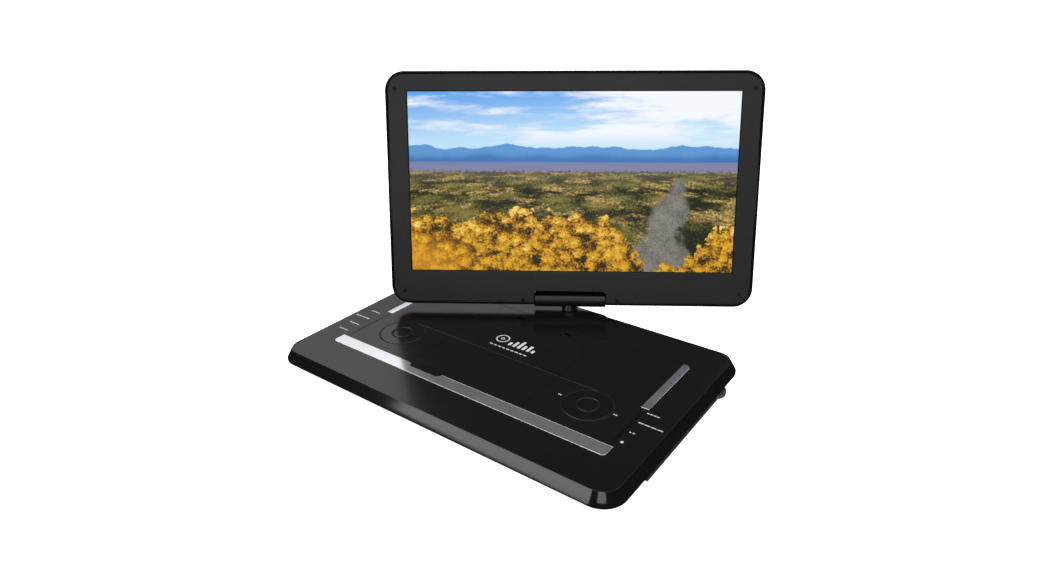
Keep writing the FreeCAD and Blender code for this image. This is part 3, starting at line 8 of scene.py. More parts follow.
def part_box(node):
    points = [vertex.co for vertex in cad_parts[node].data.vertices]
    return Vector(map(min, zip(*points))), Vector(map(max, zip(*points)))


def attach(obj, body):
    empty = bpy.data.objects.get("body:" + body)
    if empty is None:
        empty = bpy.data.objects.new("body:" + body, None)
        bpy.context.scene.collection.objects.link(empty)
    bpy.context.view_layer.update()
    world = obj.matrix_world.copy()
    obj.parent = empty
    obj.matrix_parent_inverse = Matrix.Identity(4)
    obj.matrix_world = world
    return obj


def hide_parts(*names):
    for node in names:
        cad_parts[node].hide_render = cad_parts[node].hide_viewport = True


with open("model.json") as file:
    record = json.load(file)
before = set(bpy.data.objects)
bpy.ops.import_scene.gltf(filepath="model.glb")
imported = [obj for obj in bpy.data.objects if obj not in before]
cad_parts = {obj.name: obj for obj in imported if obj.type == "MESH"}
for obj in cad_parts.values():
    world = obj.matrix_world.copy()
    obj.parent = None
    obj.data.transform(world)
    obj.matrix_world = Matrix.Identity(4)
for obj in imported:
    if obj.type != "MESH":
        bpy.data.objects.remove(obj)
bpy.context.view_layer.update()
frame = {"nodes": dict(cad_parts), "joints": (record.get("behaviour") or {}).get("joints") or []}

nodes = frame["nodes"]
jointList = {joint["name"]: joint for joint in frame["joints"]}
mm = 0.001

# where the lid stands: hinge point, swivel and tilt, all from the record's joints
tiltJoint = jointList["screen_tilt"]
hingePoint = Vector(tiltJoint["pos_m"])
hingeDirection = -Vector(tiltJoint["axis"])
swivelTurn = math.atan2(hingeDirection.y, hingeDirection.x)
tiltTurn = math.pi + math.radians(tiltJoint["range_deg"][0])
lidTurn = Euler((tiltTurn, 0, swivelTurn))
lidPlace = Matrix.Translation(hingePoint) @ lidTurn.to_matrix().to_4x4()
lidBack = lidPlace.inverted()
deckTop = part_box("deck_panel")[1].z
print("frame loaded:", len(nodes), "nodes")


def scaled(colour, factor):
    return tuple(factor * channel for channel in colour)


class Wire:
    def __init__(self, paint, socket):
        self.paint = paint
        self.socket = socket

    def __add__(self, other):
        return self.paint.sums("ADD", self, other)

    def __radd__(self, other):
        return self.paint.sums("ADD", other, self)

    def __sub__(self, other):
        return self.paint.sums("SUBTRACT", self, other)

    def __rsub__(self, other):
        return self.paint.sums("SUBTRACT", other, self)

    def __mul__(self, other):
        return self.paint.sums("MULTIPLY", self, other)

    def __rmul__(self, other):
        return self.paint.sums("MULTIPLY", other, self)

    def __truediv__(self, other):
        return self.paint.sums("DIVIDE", self, other)

    def __rtruediv__(self, other):
        return self.paint.sums("DIVIDE", other, self)

    def __gt__(self, other):
        return self.paint.sums("GREATER_THAN", self, other)

    def __lt__(self, other):
        return self.paint.sums("LESS_THAN", self, other)

    def __abs__(self):
        return self.paint.sums("ABSOLUTE", self, 0.0)


class Paint:
    def __init__(self, owner, outKind="ShaderNodeOutputMaterial"):
        self.material = bpy.data.materials.new(owner) if isinstance(owner, str) else owner
        self.material.use_nodes = True
        self.tree = self.material.node_tree
        self.tree.nodes.clear()
        self.out = self.tree.nodes.new(outKind)

    def node(self, kind, settings=None, values=None, out=0):
        made = self.tree.nodes.new(kind)
        for key, value in (settings or {}).items():
            setattr(made, key, value)
        for key, value in (values or {}).items():
            self.feed(made.inputs[key], value)
        return Wire(self, made.outputs[out])

    def feed(self, socket, value):
        if isinstance(value, Wire):
            self.tree.links.new(value.socket, socket)
            return
        channels = len(socket.default_value) if hasattr(socket.default_value, "__len__") else 1
        if channels == 4 and len(value) == 3:  # a colour without its alpha
            value = (*value, 1.0)
        socket.default_value = value

    def sums(self, operation, a, b):
        return self.node("ShaderNodeMath", {"operation": operation}, {0: a, 1: b})

    def most(self, a, b):
        return self.sums("MAXIMUM", a, b)

    def smooth(self, value, low, high):
        return self.node("ShaderNodeMapRange", {"interpolation_type": "SMOOTHSTEP"},
                         {"Value": value, "From Min": low, "From Max": high, "To Min": 0.0, "To Max": 1.0})

    def place(self, location=(0, 0, 0), turn=(0, 0, 0), scale=(1, 1, 1)):
        spot = self.node("ShaderNodeTexCoord", out="Object")
        return self.node("ShaderNodeMapping", {"vector_type": "TEXTURE"},
                         {"Vector": spot, "Location": location, "Rotation": turn, "Scale": scale})

    def point(self, x, y, z=0.0):
        return self.node("ShaderNodeCombineXYZ", None, {0: x, 1: y, 2: z})

    def split(self, vector):
        made = self.node("ShaderNodeSeparateXYZ", None, {"Vector": vector})
        return [Wire(self, socket) for socket in made.socket.node.outputs]

    def noise(self, vector, scale, detail=3.0, rough=0.5):
        return self.node("ShaderNodeTexNoise", None,
                         {"Vector": vector, "Scale": scale, "Detail": detail, "Roughness": rough}, "Fac")

    def cells(self, vector, scale, feature="F1"):
        return self.node("ShaderNodeTexVoronoi", {"feature": feature},
                         {"Vector": vector, "Scale": scale}, "Distance")

    def mix(self, factor, a, b):
        return self.node("ShaderNodeMix", {"data_type": "RGBA", "clamp_factor": True},
                         {"Factor": factor, 6: a, 7: b}, 2)

    def tint(self, factor, colour, low, high):  # one colour between two brightnesses
        return self.mix(factor, scaled(colour, low), scaled(colour, high))

    def bump(self, height, strength, distance):
        return self.node("ShaderNodeBump", None,
                         {"Height": height, "Strength": strength, "Distance": distance})

    def finish(self, **sockets):
        names = {"colour": "Base Color", "rough": "Roughness", "metal": "Metallic", "normal": "Normal",
                 "glow": "Emission Color", "glowPower": "Emission Strength", "gloss": "Specular IOR Level"}
        values = {names[key]: value for key, value in sockets.items()}
        shader = self.node("ShaderNodeBsdfPrincipled", None, values)
        self.tree.links.new(shader.socket, self.out.inputs["Surface"])
        return self.material


# studio: camera, floor, dome, softboxes and the two cards that only the gloss sees
cameraSettings = {"place": (0.38516, -0.48901, 0.39730), "right": (0.80779649, 0.58937114, -0.01031951),
                  "up": (-0.24669405, 0.35391687, 0.9021557), "lens": 24.93, "sensor": 36.0, "near": 0.01}
studio = {"floorSize": 24.0, "floorDrop": 0.0004, "floorColour": (0.92, 0.92, 0.915), "floorTone": 0.98,
          "floorGrain": 6.0, "floorGlow": 1.0, "paperRough": 0.9, "domeLow": 16.0, "domeHigh": 34.0,
          "domePower": 1.15, "lowPower": 0.015}


def buildCamera():
    right = Vector(cameraSettings["right"]).normalized()
    up = Vector(cameraSettings["up"])
    up = (up - right * up.dot(right)).normalized()
    back = right.cross(up)
    data = bpy.data.cameras.new("viewCamera")
    data.lens = cameraSettings["lens"]
    data.sensor_width = cameraSettings["sensor"]
    data.sensor_fit = "HORIZONTAL"
    data.clip_start = cameraSettings["near"]
    camera = bpy.data.objects.new("viewCamera", data)
    bpy.context.scene.collection.objects.link(camera)
    turn = Matrix((right, up, back)).transposed()
    camera.matrix_world = Matrix.Translation(cameraSettings["place"]) @ turn.to_4x4()
    bpy.context.scene.camera = camera


def buildWorld():  # pale overhead, dark near the horizon, white to the camera
    world = bpy.data.worlds.new("studioDome")
    bpy.context.scene.world = world
    paint = Paint(world, "ShaderNodeOutputWorld")
    direction = paint.node("ShaderNodeTexCoord", out="Generated")
    height = paint.split(direction)[2]
    low = math.sin(math.radians(studio["domeLow"]))
    high = math.sin(math.radians(studio["domeHigh"]))
    lift = paint.smooth(height, low, high)
    seen = paint.node("ShaderNodeLightPath", out="Is Camera Ray")
    power = paint.most(lift * studio["domePower"] + studio["lowPower"], seen)
    shader = paint.node("ShaderNodeBackground", None, {"Color": (1, 1, 1, 1), "Strength": power})
    paint.tree.links.new(shader.socket, paint.out.inputs["Surface"])


def deselectAll():
    if bpy.context.object and bpy.context.object.mode != "OBJECT":
        bpy.ops.object.mode_set(mode="OBJECT")
    bpy.ops.object.select_all(action="DESELECT")


def applyPlace():
    bpy.ops.object.transform_apply(location=True, rotation=True, scale=True)


def buildFloor():
    deselectAll()
    bpy.ops.mesh.primitive_plane_add(size=studio["floorSize"], location=(0, 0, -studio["floorDrop"]))
    floor = bpy.context.object
    floor.name = "studioFloor"
    paint = Paint("studioFloorPaper")
    grain = paint.noise(paint.place(), studio["floorGrain"])
    colour = paint.tint(grain, studio["floorColour"], 1.0, studio["floorTone"])
    floor.data.materials.append(paint.finish(colour=colour, rough=studio["paperRough"], gloss=0.0,
                                             glow=(1, 1, 1), glowPower=studio["floorGlow"]))
    floor.visible_glossy = False


softboxes = {
    "keySoftbox": {"place": (-1.1, -0.6, 2.1), "aim": (0, 0, 0), "size": (1.8, 1.8), "power": 22.0},
    "frontStrip": {"place": (-0.48, -1.15, 0.27), "aim": (0.08, -0.13, 0.015), "size": (0.6, 0.24),
                   "power": 1.5},
    "cornerStrip": {"place": (0.66, -0.92, 0.36), "aim": (0.18, -0.12, 0.015), "size": (0.62, 0.16),
                    "power": 0.9},
}


def buildLights():
    for name, box in softboxes.items():
        data = bpy.data.lights.new(name, "AREA")
        data.shape = "RECTANGLE"
        data.size, data.size_y = box["size"]
        data.energy = box["power"]
        lamp = bpy.data.objects.new(name, data)
        bpy.context.scene.collection.objects.link(lamp)
        lamp.location = box["place"]
        lamp.rotation_euler = (Vector(box["aim"]) - Vector(box["place"])).to_track_quat("-Z", "Y").to_euler()
        lamp.visible_camera = False


def addCard(name, settings):
    deselectAll()
    bpy.ops.mesh.primitive_plane_add(size=1.0)
    card = bpy.context.object
    card.name = name
    card.dimensions = (*settings["size"], 0)
    card.location = settings["place"]
    applyPlace()
    card.visible_camera = False
    card.visible_diffuse = False
    card.visible_shadow = False
    return card


backCard = {"size": (2.2, 2.4), "place": (-0.97, 1.48, 0.0), "grain": 2.0, "low": (0.9, 0.9, 0.9),
            "high": (1, 1, 1), "glow": 0.7}


def buildBackCard():  # pale card behind, only seen in the gloss of the lid's back
    card = addCard("backCard", backCard)
    paint = Paint("cardPaper")
    grain = paint.noise(paint.place(), backCard["grain"])
    glow = paint.mix(grain, backCard["low"], backCard["high"])
    card.data.materials.append(paint.finish(colour=glow, rough=studio["paperRough"], glow=glow,
                                            glowPower=backCard["glow"]))


topFlag = {"size": (0.5, 0.32), "place": (0.055, 0.41, -0.01), "grain": 300.0, "low": (0.001, 0.001, 0.001),
           "high": (0.003, 0.003, 0.003)}


def buildFlag():  # black card over the lid, only seen in the deck's gloss
    flag = addCard("topFlag", topFlag)
    flag.matrix_world = lidPlace
    applyPlace()
    paint = Paint("flagCloth")
    weave = paint.noise(paint.place(), topFlag["grain"])
    cloth = paint.mix(weave, topFlag["low"], topFlag["high"])
    flag.data.materials.append(paint.finish(colour=cloth, rough=1.0, gloss=0.0))


buildCamera()
buildWorld()
buildFloor()
buildLights()
buildFlag()
buildBackCard()
bpy.context.scene.view_settings.view_transform = "Standard"
print("studio ready")

# finishes: noise is given as scale, detail and roughness, relief as strength and depth
glossLook = {"haze": (14.0, 4.0, 0.6), "dust": (900.0, 2.0, 0.5), "tints": (1.0, 1.25), "hazeRough": 0.05,
             "dustRough": 0.03, "sideHaze": 0.02, "edge": (0.0004, 0.0001), "relief": (0.04, 0.00002)}
satinLook = {"haze": (20.0, 4.0, 0.6), "tints": (0.9, 1.15), "hazeRough": 0.1, "gritScale": 0.6,
             "grit": (3.0, 0.6), "strength": 0.25}
silverLook = {"flake": 5200.0, "haze": (40.0, 3.0, 0.5), "tints": (0.93, 1.0), "hazeMetal": 0.1,
              "flakeRough": 0.05, "hazeRough": 0.03, "relief": (0.02, 0.000005)}
steelLook = {"wear": (180.0, 4.0, 0.6), "lines": (500.0, 2.0, 0.5), "stretch": (30.0, 1.0, 1.0),
             "tints": (0.8, 1.0), "wearRough": 0.15, "relief": (0.08, 0.00002)}
rubberLook = {"pebble": 1400.0, "dust": (90.0, 5.0, 0.65), "dark": (0.012, 0.012, 0.012),
              "pale": (0.035, 0.034, 0.032), "rough": 0.75, "dustRough": 0.15, "gloss": 0.3,
              "relief": (0.3, 0.00004)}
boardLook = {"cell": 260.0, "trackWide": 0.06, "haze": 60.0, "dark": (0.01, 0.07, 0.025),
             "pale": (0.015, 0.1, 0.035), "track": (0.03, 0.16, 0.06), "rough": 0.4, "hazeRough": 0.15,
             "relief": (0.15, 0.00004)}
plasticLook = {"haze": (25.0, 4.0, 0.6), "speck": (3.0, 0.6), "tints": (0.85, 1.15), "speckRough": 0.1,
               "relief": (0.1, 0.00003)}


def paintGloss(name, colour, rough, sideRough=None):
    look = glossLook
    paint = Paint(name)
    spot = paint.place()
    haze = paint.noise(spot, *look["haze"])
    dust = paint.noise(spot, *look["dust"])
    tone = paint.tint(haze, colour, *look["tints"])
    fine = rough + (haze - 0.5) * look["hazeRough"] + (dust - 0.5) * look["dustRough"]
    if sideRough is not None:  # the sides below the deck's edge are shinier
        start, end = look["edge"]
        height = paint.split(spot)[2]
        flat = paint.smooth(height, deckTop - start, deckTop - end)
        fine = fine * flat + (sideRough + (haze - 0.5) * look["sideHaze"]) * (1.0 - flat)
    return paint.finish(colour=tone, rough=fine, normal=paint.bump(dust, *look["relief"]))


def paintSatin(name, colour, rough, grain, depth):
    look = satinLook
    paint = Paint(name)
    spot = paint.place()
    pebble = paint.cells(spot, grain)
    haze = paint.noise(spot, *look["haze"])
    tone = paint.tint(haze, colour, *look["tints"])
    height = pebble + paint.noise(spot, grain * look["gritScale"], *look["grit"])
    return paint.finish(colour=tone, rough=rough + (haze - 0.5) * look["hazeRough"],
                        normal=paint.bump(height, look["strength"], depth))


def paintSilver(name, colour, rough, metal, lip=None):
    look = silverLook
    paint = Paint(name)
    flake = paint.cells(paint.place(), look["flake"])
    haze = paint.noise(paint.place(), *look["haze"])
    tone = paint.tint(haze, colour, *look["tints"])
    shine = metal + (haze - 0.5) * look["hazeMetal"]
    if lip:  # painted highlight: a pale, less metallic strip along the back edge, where the raised edge catches light
        across, along = paint.split(paint.place())[:2]
        start = lip["line"] - lip["wide"]
        paintedHighlight = paint.smooth(along, start, lip["line"] - lip["wide"] * lip["full"]) * (across > lip["from"])
        tone = paint.mix(paintedHighlight, tone, lip["colour"])
        shine = shine * (1.0 - paintedHighlight)
    grain = rough + flake * look["flakeRough"] + haze * look["hazeRough"]
    return paint.finish(colour=tone, metal=shine, rough=grain, normal=paint.bump(flake, *look["relief"]))


def paintSteel(name, colour, rough):
    look = steelLook
    paint = Paint(name)
    wear = paint.noise(paint.place(), *look["wear"])
    line = paint.noise(paint.place(scale=look["stretch"]), *look["lines"])
    tone = paint.tint(wear, colour, *look["tints"])
    return paint.finish(colour=tone, metal=1.0, rough=rough + wear * look["wearRough"],
                        normal=paint.bump(line, *look["relief"]))


def paintRubber(name, light):
    look = rubberLook
    paint = Paint(name)
    spot = paint.place()
    pebble = paint.cells(spot, look["pebble"])
    dust = paint.noise(spot, *look["dust"])
    tone = paint.mix(dust, scaled(look["dark"], light), scaled(look["pale"], light))
    return paint.finish(colour=tone, rough=look["rough"] + dust * look["dustRough"], gloss=look["gloss"],
                        normal=paint.bump(pebble, *look["relief"]))


def paintBoard(name):
    look = boardLook
    paint = Paint(name)
    spot = paint.place()
    tracks = paint.cells(spot, look["cell"], "DISTANCE_TO_EDGE") < look["trackWide"]
    haze = paint.noise(spot, look["haze"])
    tone = paint.mix(tracks, paint.mix(haze, look["dark"], look["pale"]), look["track"])
    return paint.finish(colour=tone, rough=look["rough"] + haze * look["hazeRough"],
                        normal=paint.bump(tracks, *look["relief"]))


def paintPlastic(name, colour, rough, grain=700.0):
    look = plasticLook
    paint = Paint(name)
    spot = paint.place()
    speck = paint.noise(spot, grain, *look["speck"])
    haze = paint.noise(spot, *look["haze"])
    tone = paint.tint(haze, colour, *look["tints"])
    return paint.finish(colour=tone, rough=rough + (speck - 0.5) * look["speckRough"],
                        normal=paint.bump(speck, *look["relief"]))


# the screen's landscape: every layer works in "across" and "up", both 0 to 1 over the picture
picture = {"wide": 344.2 * mm, "high": 188.9 * mm, "low": 32.3 * mm, "face": 7.6 * mm, "power": 1.0,
           "sheet": 0.04 * mm, "edge": 0.8 * mm, "aspect": 1.82, "leaf": (75.0, 6.0, 0.75),
           "blurCorner": 0.26, "blurFade": (0.24, 0.2), "blurPower": 0.7, "blurNoise": (7.0, 2.0, 0.4),
           "blur": (0.72, 0.27, 0.02), "glassDark": (0.005, 0.005, 0.006), "glassPale": (0.007, 0.007, 0.008),
           "haze": 30.0, "rough": 0.3, "hazeRough": 0.05, "gloss": 0.2}
skyLook = {"top": (0.11, 0.36, 0.84), "low": (0.52, 0.76, 0.95), "cloud": (0.90, 0.93, 0.97), "lean": 0.10,
           "fade": (0.66, 1.02), "stretch": (2.2, 7.0, 3.0), "wisps": (1.6, 7.0, 0.6),
           "rightSide": (0.1, 0.5), "rightMore": 0.13, "cloudFade": (0.46, 0.70), "cloudLow": (0.66, 0.8)}
ridgeLook = {"near": (0.05, 0.18, 0.46), "far": (0.11, 0.31, 0.64), "lineStretch": 3.1, "lineSeed": 7.0,
             "farUp": 0.70, "farNoise": (1.7, 4.0, 0.5), "farHigh": 0.16, "farFade": 0.006,
             "nearUp": 0.655, "nearNoise": (3.1, 3.0, 0.5), "nearHigh": 0.06, "nearLift": 0.02,
             "nearFade": 0.05}
plainLook = {"colour": (0.17, 0.18, 0.31), "tints": (1.0, 1.45), "stretch": (4.0, 90.0),
             "streak": (1.0, 3.0, 0.5), "up": 0.622, "fade": 0.012}
shrubLook = {"dark": (0.012, 0.016, 0.005), "light": (0.22, 0.19, 0.04), "strawDark": (0.13, 0.075, 0.018),
             "straw": (0.66, 0.47, 0.15), "dusty": (0.26, 0.24, 0.17), "horizon": 0.62, "shallow": 0.02,
             "groundWide": 1.9, "groundNear": 0.25, "groundDeep": 0.16, "clump": (4.6, 6.0, 0.66),
             "bush": 2.3, "bushTop": 0.9, "bushPart": 0.45, "clumpPart": 0.35, "leafPart": 0.9,
             "toneFade": (0.22, 0.58), "dryFade": (0.38, 0.62), "patches": (2.1, 6.0, 0.7),
             "patchFade": (0.49, 0.62),
             "dustyFade": (0.46, 0.58), "dustyPart": 0.3, "edgeUp": 0.570, "edgeNoise": (26.0, 5.0, 0.7),
             "edgeHigh": 0.09, "edgeFade": 0.008}
trackLook = {"colour": (0.085, 0.08, 0.07), "tints": (1.0, 3.6), "middle": 0.775, "bend": 0.055,
             "bendFade": (0.15, 0.55), "half": 0.020, "top": 0.53, "widen": 0.17, "leafPart": 0.04,
             "wander": (7.0, 4.0, 0.55), "wanderPart": 0.16, "wanderUp": 0.58, "wanderFade": 0.4,
             "pebbles": (150.0, 5.0, 0.85), "lumps": (14.0, 3.0, 0.6), "lumpPart": 0.3,
             "gravelFade": (0.5, 0.8), "sideFade": (-0.004, 0.02), "topFade": 0.02}
bloomLook = {"stem": (0.030, 0.020, 0.003), "deep": (0.30, 0.13, 0.006), "gold": (0.72, 0.38, 0.018),
             "petal": (0.98, 0.78, 0.24), "up": 0.37, "line": (2.6, 4.0, 0.55), "lineHigh": 0.42,
             "dip": 0.30, "dipFade": (0.60, 0.74), "rise": 0.26, "riseFade": (0.84, 0.95),
             "sprays": (22.0, 7.0, 0.72), "shakeAcross": 0.12, "tall": 1.25, "shakeUp": 0.10, "tuft": 15.0,
             "big": (6.0, 3.0, 0.5), "tuftTop": 0.95, "tuftPart": 0.42, "sprayPart": 1.0, "leafPart": 1.1,
             "bigPart": 0.5, "lift": 0.06, "deepFade": (0.06, 0.24), "goldFade": (0.16, 0.38),
             "petalFade": (0.34, 0.62), "sunFrom": 0.2, "sunPart": 0.5, "edgeTuft": 0.10, "edgeSpray": 0.12,
             "edgeLeaf": 0.05, "edgeFade": 0.015}


def paintSky(paint, across, up):  # with drifting cloud
    look = skyLook
    sky = paint.mix(paint.smooth(up - across * look["lean"], *look["fade"]), look["low"], look["top"])
    wide, high, seed = look["stretch"]
    wisps = paint.noise(paint.point(across * wide, up * high, seed), *look["wisps"])
    more = paint.smooth(across, *look["rightSide"]) * look["rightMore"]
    cloud = paint.smooth(wisps + more, *look["cloudFade"])
    return paint.mix(cloud * paint.smooth(up, *look["cloudLow"]), sky, look["cloud"])


def paintRidges(paint, scene, line, up):
    look = ridgeLook
    farLine = look["farUp"] + (paint.noise(line, *look["farNoise"]) - 0.5) * look["farHigh"]
    nearLine = look["nearUp"] + (paint.noise(line, *look["nearNoise"]) - 0.5) * look["nearHigh"]
    scene = paint.mix(paint.smooth(farLine - up, 0.0, look["farFade"]), scene, look["far"])
    nearHills = paint.smooth(nearLine + look["nearLift"] - up, 0.0, look["nearFade"])
    return paint.mix(nearHills, scene, look["near"])


def paintPlain(paint, scene, across, up):  # pale, streaked along the horizon
    look = plainLook
    wide, high = look["stretch"]
    streak = paint.noise(paint.point(across * wide, up * high), *look["streak"])
    plain = paint.tint(streak, look["colour"], *look["tints"])
    return paint.mix(paint.smooth(look["up"] - up, 0.0, look["fade"]), scene, plain)


def paintShrubs(paint, scene, line, leaf, across, up):  # coarser towards the front
    look = shrubLook
    deep = paint.most(look["horizon"] - up, look["shallow"])
    ground = paint.point((across - 0.5) * look["groundWide"] / (deep + look["groundNear"]),
                         1.0 / (deep + look["groundDeep"]))
    clump = paint.noise(ground, *look["clump"])
    bush = look["bushTop"] - paint.cells(ground, look["bush"])
    tone = bush * look["bushPart"] + clump * look["clumpPart"] + (leaf - 0.5) * look["leafPart"]
    shrub = paint.mix(paint.smooth(tone, *look["toneFade"]), look["dark"], look["light"])
    dry = paint.mix(paint.smooth(leaf, *look["dryFade"]), look["strawDark"], look["straw"])
    patches = paint.smooth(paint.noise(ground, *look["patches"]), *look["patchFade"])
    shrub = paint.mix(patches, shrub, dry)
    shrub = paint.mix(paint.smooth(up, *look["dustyFade"]) * look["dustyPart"], shrub, look["dusty"])
    edge = look["edgeUp"] + (paint.noise(line, *look["edgeNoise"]) - 0.5) * look["edgeHigh"]
    return paint.mix(paint.smooth(edge - up, 0.0, look["edgeFade"]), scene, shrub)


def paintTrack(paint, scene, flat, leaf, across, up):  # sandy, on the right, wider towards the front
    look = trackLook
    middle = look["middle"] + paint.smooth(up, *look["bendFade"]) * look["bend"]
    half = look["half"] + paint.most(look["top"] - up, 0.0) * look["widen"]
    wander = (paint.noise(flat, *look["wander"]) - 0.5) * look["wanderPart"]
    wander = wander * paint.smooth(look["wanderUp"] - up, 0.0, look["wanderFade"])
    edge = abs(across - middle) - half + (leaf - 0.5) * look["leafPart"] + wander
    pebbles = paint.noise(flat, *look["pebbles"]) + paint.noise(flat, *look["lumps"]) * look["lumpPart"]
    gravel = paint.tint(paint.smooth(pebbles, *look["gravelFade"]), look["colour"], *look["tints"])
    below = paint.smooth(look["top"] - up, 0.0, look["topFade"])
    return paint.mix(paint.smooth(-1.0 * edge, *look["sideFade"]) * below, scene, gravel)


def paintBlooms(paint, scene, flat, line, leaf, across, up):  # rounded tufts over stems, lit from above
    look = bloomLook
    edge = look["up"] + (paint.noise(line, *look["line"]) - 0.5) * look["lineHigh"]
    edge = edge - paint.smooth(across, *look["dipFade"]) * look["dip"]
    edge = edge + paint.smooth(across, *look["riseFade"]) * look["rise"]
    sprays = paint.noise(flat, *look["sprays"])
    shaken = paint.point(across * picture["aspect"] + (sprays - 0.5) * look["shakeAcross"],
                         up * look["tall"] + sprays * look["shakeUp"])
    tuft = paint.cells(shaken, look["tuft"])
    big = paint.noise(flat, *look["big"])
    tone = (look["tuftTop"] - tuft) * look["tuftPart"] + (sprays - 0.5) * look["sprayPart"]
    tone = tone + (leaf - 0.5) * look["leafPart"] + (big - 0.5) * look["bigPart"] + look["lift"]
    sunlit = tone + (up - look["sunFrom"]) * look["sunPart"]
    bloom = paint.mix(paint.smooth(tone, *look["deepFade"]), look["stem"], look["deep"])
    bloom = paint.mix(paint.smooth(tone, *look["goldFade"]), bloom, look["gold"])
    bloom = paint.mix(paint.smooth(sunlit, *look["petalFade"]), bloom, look["petal"])
    reach = edge - up - tuft * look["edgeTuft"] + (sprays - 0.5) * look["edgeSpray"]
    reach = reach + (leaf - 0.5) * look["edgeLeaf"]
    return paint.mix(paint.smooth(reach, 0.0, look["edgeFade"]), scene, bloom)


def paintPicture():
    look = picture
    paint = Paint("screenLandscape")
    spot = paint.place(location=tuple(hingePoint), turn=tuple(lidTurn))
    alongLid, upLid = paint.split(spot)[:2]
    across = alongLid / look["wide"] + 0.5
    up = (upLid - look["low"]) / look["high"]
    flat = paint.point(across * look["aspect"], up)
    line = paint.point(across * ridgeLook["lineStretch"], 0.0, ridgeLook["lineSeed"])
    leaf = paint.noise(flat, *look["leaf"])
    scene = paintSky(paint, across, up)
    scene = paintRidges(paint, scene, line, up)
    scene = paintPlain(paint, scene, across, up)
    scene = paintShrubs(paint, scene, line, leaf, across, up)
    scene = paintTrack(paint, scene, flat, leaf, across, up)
    scene = paintBlooms(paint, scene, flat, line, leaf, across, up)
    # out-of-focus flowers in the lower left corner
    corner = look["blurCorner"]
    fadeAcross, fadeUp = look["blurFade"]
    soft = paint.smooth(corner - across, 0.0, fadeAcross) * paint.smooth(corner - up, 0.0, fadeUp)
    blur = paint.mix(paint.noise(flat, *look["blurNoise"]), look["blur"], bloomLook["gold"])
    scene = paint.mix(soft * look["blurPower"], scene, blur)
    haze = paint.noise(spot, look["haze"])
    glass = paint.mix(haze, look["glassDark"], look["glassPale"])
    return paint.finish(colour=glass, rough=look["rough"] + haze * look["hazeRough"], glow=scene,
                        glowPower=look["power"], gloss=look["gloss"])


# painted highlight on the front trim: a pale strip along its back edge, right of the notch
lipHighlight = {"line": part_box("front_trim")[1].y, "wide": 0.0008, "full": 0.6, "from": -0.024,
           "colour": (0.8, 0.81, 0.8)}
finishes = {
    "shellGloss": paintGloss("shellGloss", colour=(0.0042, 0.0044, 0.0040), rough=0.21, sideRough=0.1),
    "lidGloss": paintGloss("lidGloss", colour=(0.0025, 0.0025, 0.0025), rough=0.1),
    "buttonGloss": paintGloss("buttonGloss", colour=(0.0036, 0.0038, 0.0035), rough=0.17),
    "bezelSatin": paintSatin("bezelSatin", colour=(0.012, 0.0122, 0.0115), rough=0.4,
                             grain=2600.0, depth=0.00002),
    "bellyTexture": paintSatin("bellyTexture", colour=(0.02, 0.02, 0.02), rough=0.55,
                               grain=900.0, depth=0.00006),
    "trimSilver": paintSilver("trimSilver", colour=(0.84, 0.88, 0.95), rough=0.1, metal=0.92),
    "frontSilver": paintSilver("frontSilver", colour=(0.86, 0.88, 0.92), rough=0.1, metal=0.92, lip=lipHighlight),
    "printWhite": paintPlastic("printWhite", colour=(0.62, 0.63, 0.62), rough=0.45, grain=2500.0),
    "darkGlass": paintGloss("darkGlass", colour=(0.004, 0.004, 0.005), rough=0.06),
    # the grey plastic of the wheel and switch, also used for the painted highlight strips along the deck's
    # crease
    "greyControlAndCreaseHighlight": paintPlastic("greyControlAndCreaseHighlight", colour=(0.055, 0.055, 0.057), rough=0.45),
    "padRubber": paintRubber("padRubber", light=1.0),
    "bumperRubber": paintRubber("bumperRubber", light=0.2),
    # painted shade: near-black rubber for the rings that darken the grooves round the pads
    "paintedGrooveShade": paintRubber("paintedGrooveShade", light=0.1),
    "barrelGloss": paintGloss("barrelGloss", colour=(0.003, 0.003, 0.003), rough=0.3),
    "brightSteel": paintSteel("brightSteel", colour=(0.62, 0.62, 0.63), rough=0.22),
    "blackMetal": paintSteel("blackMetal", colour=(0.05, 0.05, 0.05), rough=0.4),
    "greenBoard": paintBoard("greenBoard"),
    "socketPlastic": paintPlastic("socketPlastic", colour=(0.016, 0.016, 0.016), rough=0.4),
    "cellWrap": paintPlastic("cellWrap", colour=(0.03, 0.05, 0.14), rough=0.35),
    "innerPlastic": paintPlastic("innerPlastic", colour=(0.035, 0.035, 0.038), rough=0.4),
    "lightGuide": paintPlastic("lightGuide", colour=(0.6, 0.6, 0.6), rough=0.3),
    "lensGlass": paintGloss("lensGlass", colour=(0.05, 0.06, 0.16), rough=0.05),
    "windowSmoke": paintSatin("windowSmoke", colour=(0.0012, 0.001, 0.001), rough=0.6,
                              grain=1800.0, depth=0.00002),
    "screenLandscape": paintPicture(),
}
